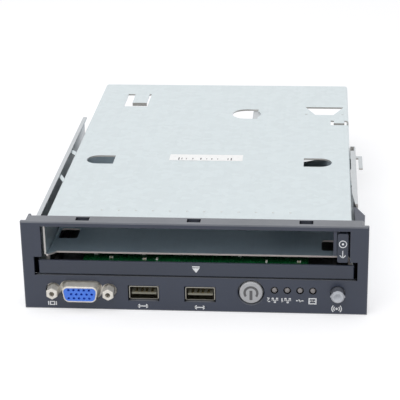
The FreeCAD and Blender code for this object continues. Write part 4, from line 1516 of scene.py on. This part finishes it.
@dataclass(frozen=True)
class ReleaseSpring:
    """Folded spring behind the release tab."""

    node: str = "release_spring"
    joint: str = "release_push"

    def dress(self, frame: dict) -> None:
        """Gives the spring its own copy of its mesh.

        Args:
            frame: The loaded frame.
        """
        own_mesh(frame["nodes"][self.node])


@dataclass(frozen=True)
class SoftLight:
    """A square soft light that looks at the object and leaves no mirror image on it."""

    name: str
    place: Triple
    size: float
    power: float
    aim: Triple = (0.0, 0.0, 20.0 * MM)

    def build(self) -> None:
        """Hangs the light."""
        light = bpy.data.lights.new(self.name, "AREA")
        light.size = self.size
        light.energy = self.power
        lamp = bpy.data.objects.new(self.name, light)
        lamp.location = self.place
        lamp.visible_glossy = False
        lamp.rotation_euler = (Vector(self.aim) - Vector(self.place)).to_track_quat("-Z", "Y").to_euler()
        bpy.context.scene.collection.objects.link(lamp)


@dataclass(frozen=True)
class Studio:
    """White table, soft lights and the photograph's camera."""

    camera_mm: Triple = (54.621, -568.303, 289.412)
    pitch_deg: float = 22.455
    yaw_deg: float = -5.152
    roll_deg: float = -1.095
    focal_px: float = 1438.72
    image_px: float = 400.0
    sensor_mm: float = 36.0
    sky: float = 0.36
    table_grey: float = 0.62
    table_glow: float = 0.52
    table_tone: Colour = tone(250, 250, 253)
    table_size: float = 8.0
    table_drop: float = 0.1 * MM
    lights: tuple[SoftLight, ...] = (
        SoftLight("overhead", (-0.1, 0.0, 1.25), size=1.8, power=9.3),
        SoftLight("front_fill", (-0.25, -1.0, 1.05), size=1.2, power=7.5),
    )

    def build(self, face_y: float) -> None:
        """Builds table, light and camera.

        Args:
            face_y: Y of the bezel's face, from which the camera's place is counted.
        """
        self.table()
        self.world()
        for light in self.lights:
            light.build()
        self.camera(face_y)

    @staticmethod
    def seen(tree: bpy.types.NodeTree) -> Socket:
        """Rays that show the background: from the camera, off metal and through glass.

        Args:
            tree: Node tree to build in.

        Returns:
            One for such rays, nothing for light.
        """
        path = tree.nodes.new("ShaderNodeLightPath")
        total = path.outputs["Is Camera Ray"]
        for name in ("Is Glossy Ray", "Is Transmission Ray"):
            either = tree.nodes.new("ShaderNodeMath")
            either.operation = "MAXIMUM"
            tree.links.new(total, either.inputs[0])
            tree.links.new(path.outputs[name], either.inputs[1])
            total = either.outputs[0]
        return total

    def table(self) -> None:
        """A wide white table top, which keeps the shadows."""
        clear_selection()
        bpy.ops.mesh.primitive_plane_add(size=self.table_size, location=(0.0, 0.0, -self.table_drop))
        table = bpy.context.active_object
        table.name = "table"
        material = bpy.data.materials.new("table_white")
        material.use_nodes = True
        tree = material.node_tree
        tree.nodes.clear()
        matt = tree.nodes.new("ShaderNodeBsdfDiffuse")
        matt.inputs["Color"].default_value = (self.table_grey, self.table_grey, self.table_grey, 1.0)
        glow = tree.nodes.new("ShaderNodeEmission")
        glow.inputs["Color"].default_value = (*self.table_tone, 1.0)
        level = tree.nodes.new("ShaderNodeMath")
        level.operation = "MULTIPLY"
        level.inputs[1].default_value = self.table_glow
        tree.links.new(self.seen(tree), level.inputs[0])
        tree.links.new(level.outputs[0], glow.inputs["Strength"])
        both = tree.nodes.new("ShaderNodeAddShader")
        tree.links.new(matt.outputs[0], both.inputs[0])
        tree.links.new(glow.outputs[0], both.inputs[1])
        out = tree.nodes.new("ShaderNodeOutputMaterial")
        tree.links.new(both.outputs[0], out.inputs["Surface"])
        table.data.materials.append(material)

    def world(self) -> None:
        """White surroundings, dimmer as a light than as a background."""
        world = bpy.data.worlds.new("white_room")
        bpy.context.scene.world = world
        world.use_nodes = True
        tree = world.node_tree
        back = tree.nodes["Background"]
        back.inputs["Color"].default_value = (1.0, 1.0, 1.0, 1.0)
        level = tree.nodes.new("ShaderNodeMapRange")
        level.inputs["To Min"].default_value = self.sky
        level.inputs["To Max"].default_value = 1.0
        tree.links.new(self.seen(tree), level.inputs["Value"])
        tree.links.new(level.outputs["Result"], back.inputs["Strength"])

    def camera(self, face_y: float) -> None:
        """The camera that was fitted to the photograph.

        Args:
            face_y: Y of the bezel's face.
        """
        pitch, yaw, roll = (math.radians(a) for a in (self.pitch_deg, self.yaw_deg, self.roll_deg))
        look = Vector((math.sin(yaw) * math.cos(pitch), math.cos(yaw) * math.cos(pitch), -math.sin(pitch)))
        level = look.cross(Vector((0, 0, 1))).normalized()
        upright = level.cross(look)
        right = math.cos(roll) * level + math.sin(roll) * upright
        up = math.cos(roll) * upright - math.sin(roll) * level
        data = bpy.data.cameras.new("photo_camera")
        data.sensor_width = self.sensor_mm
        data.lens = self.focal_px * self.sensor_mm / self.image_px
        camera = bpy.data.objects.new("photo_camera", data)
        turn = Matrix((right, up, -look)).transposed().to_4x4()
        place = Vector(self.camera_mm) * MM + Vector((0.0, face_y, 0.0))
        camera.matrix_world = Matrix.Translation(place) @ turn
        bpy.context.scene.collection.objects.link(camera)
        bpy.context.scene.camera = camera


def main() -> None:
    """Loads the frame, dresses it and sets the picture."""
    logging.basicConfig(level=logging.INFO, format="%(name)s %(message)s")
    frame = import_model()
    bpy.context.scene.view_settings.view_transform = "Standard"
    face_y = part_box("bezel")[0].y
    finishes = Finishes()
    PackedSolids(finishes).dress(frame)
    Edges().dress(frame["nodes"])
    ReleaseSpring().dress(frame)
    FaceMarks(finishes).build()
    PowerMark(finishes).build()
    TrayMark(finishes).build()
    ReleaseMark(finishes).build()
    CageDress(finishes).build(face_y)
    LensDomes(finishes).build()
    display_parts(finishes).build(face_y)
    control_parts(finishes).build(face_y)
    Studio().build(face_y)


if __name__ == "__main__":
    main()
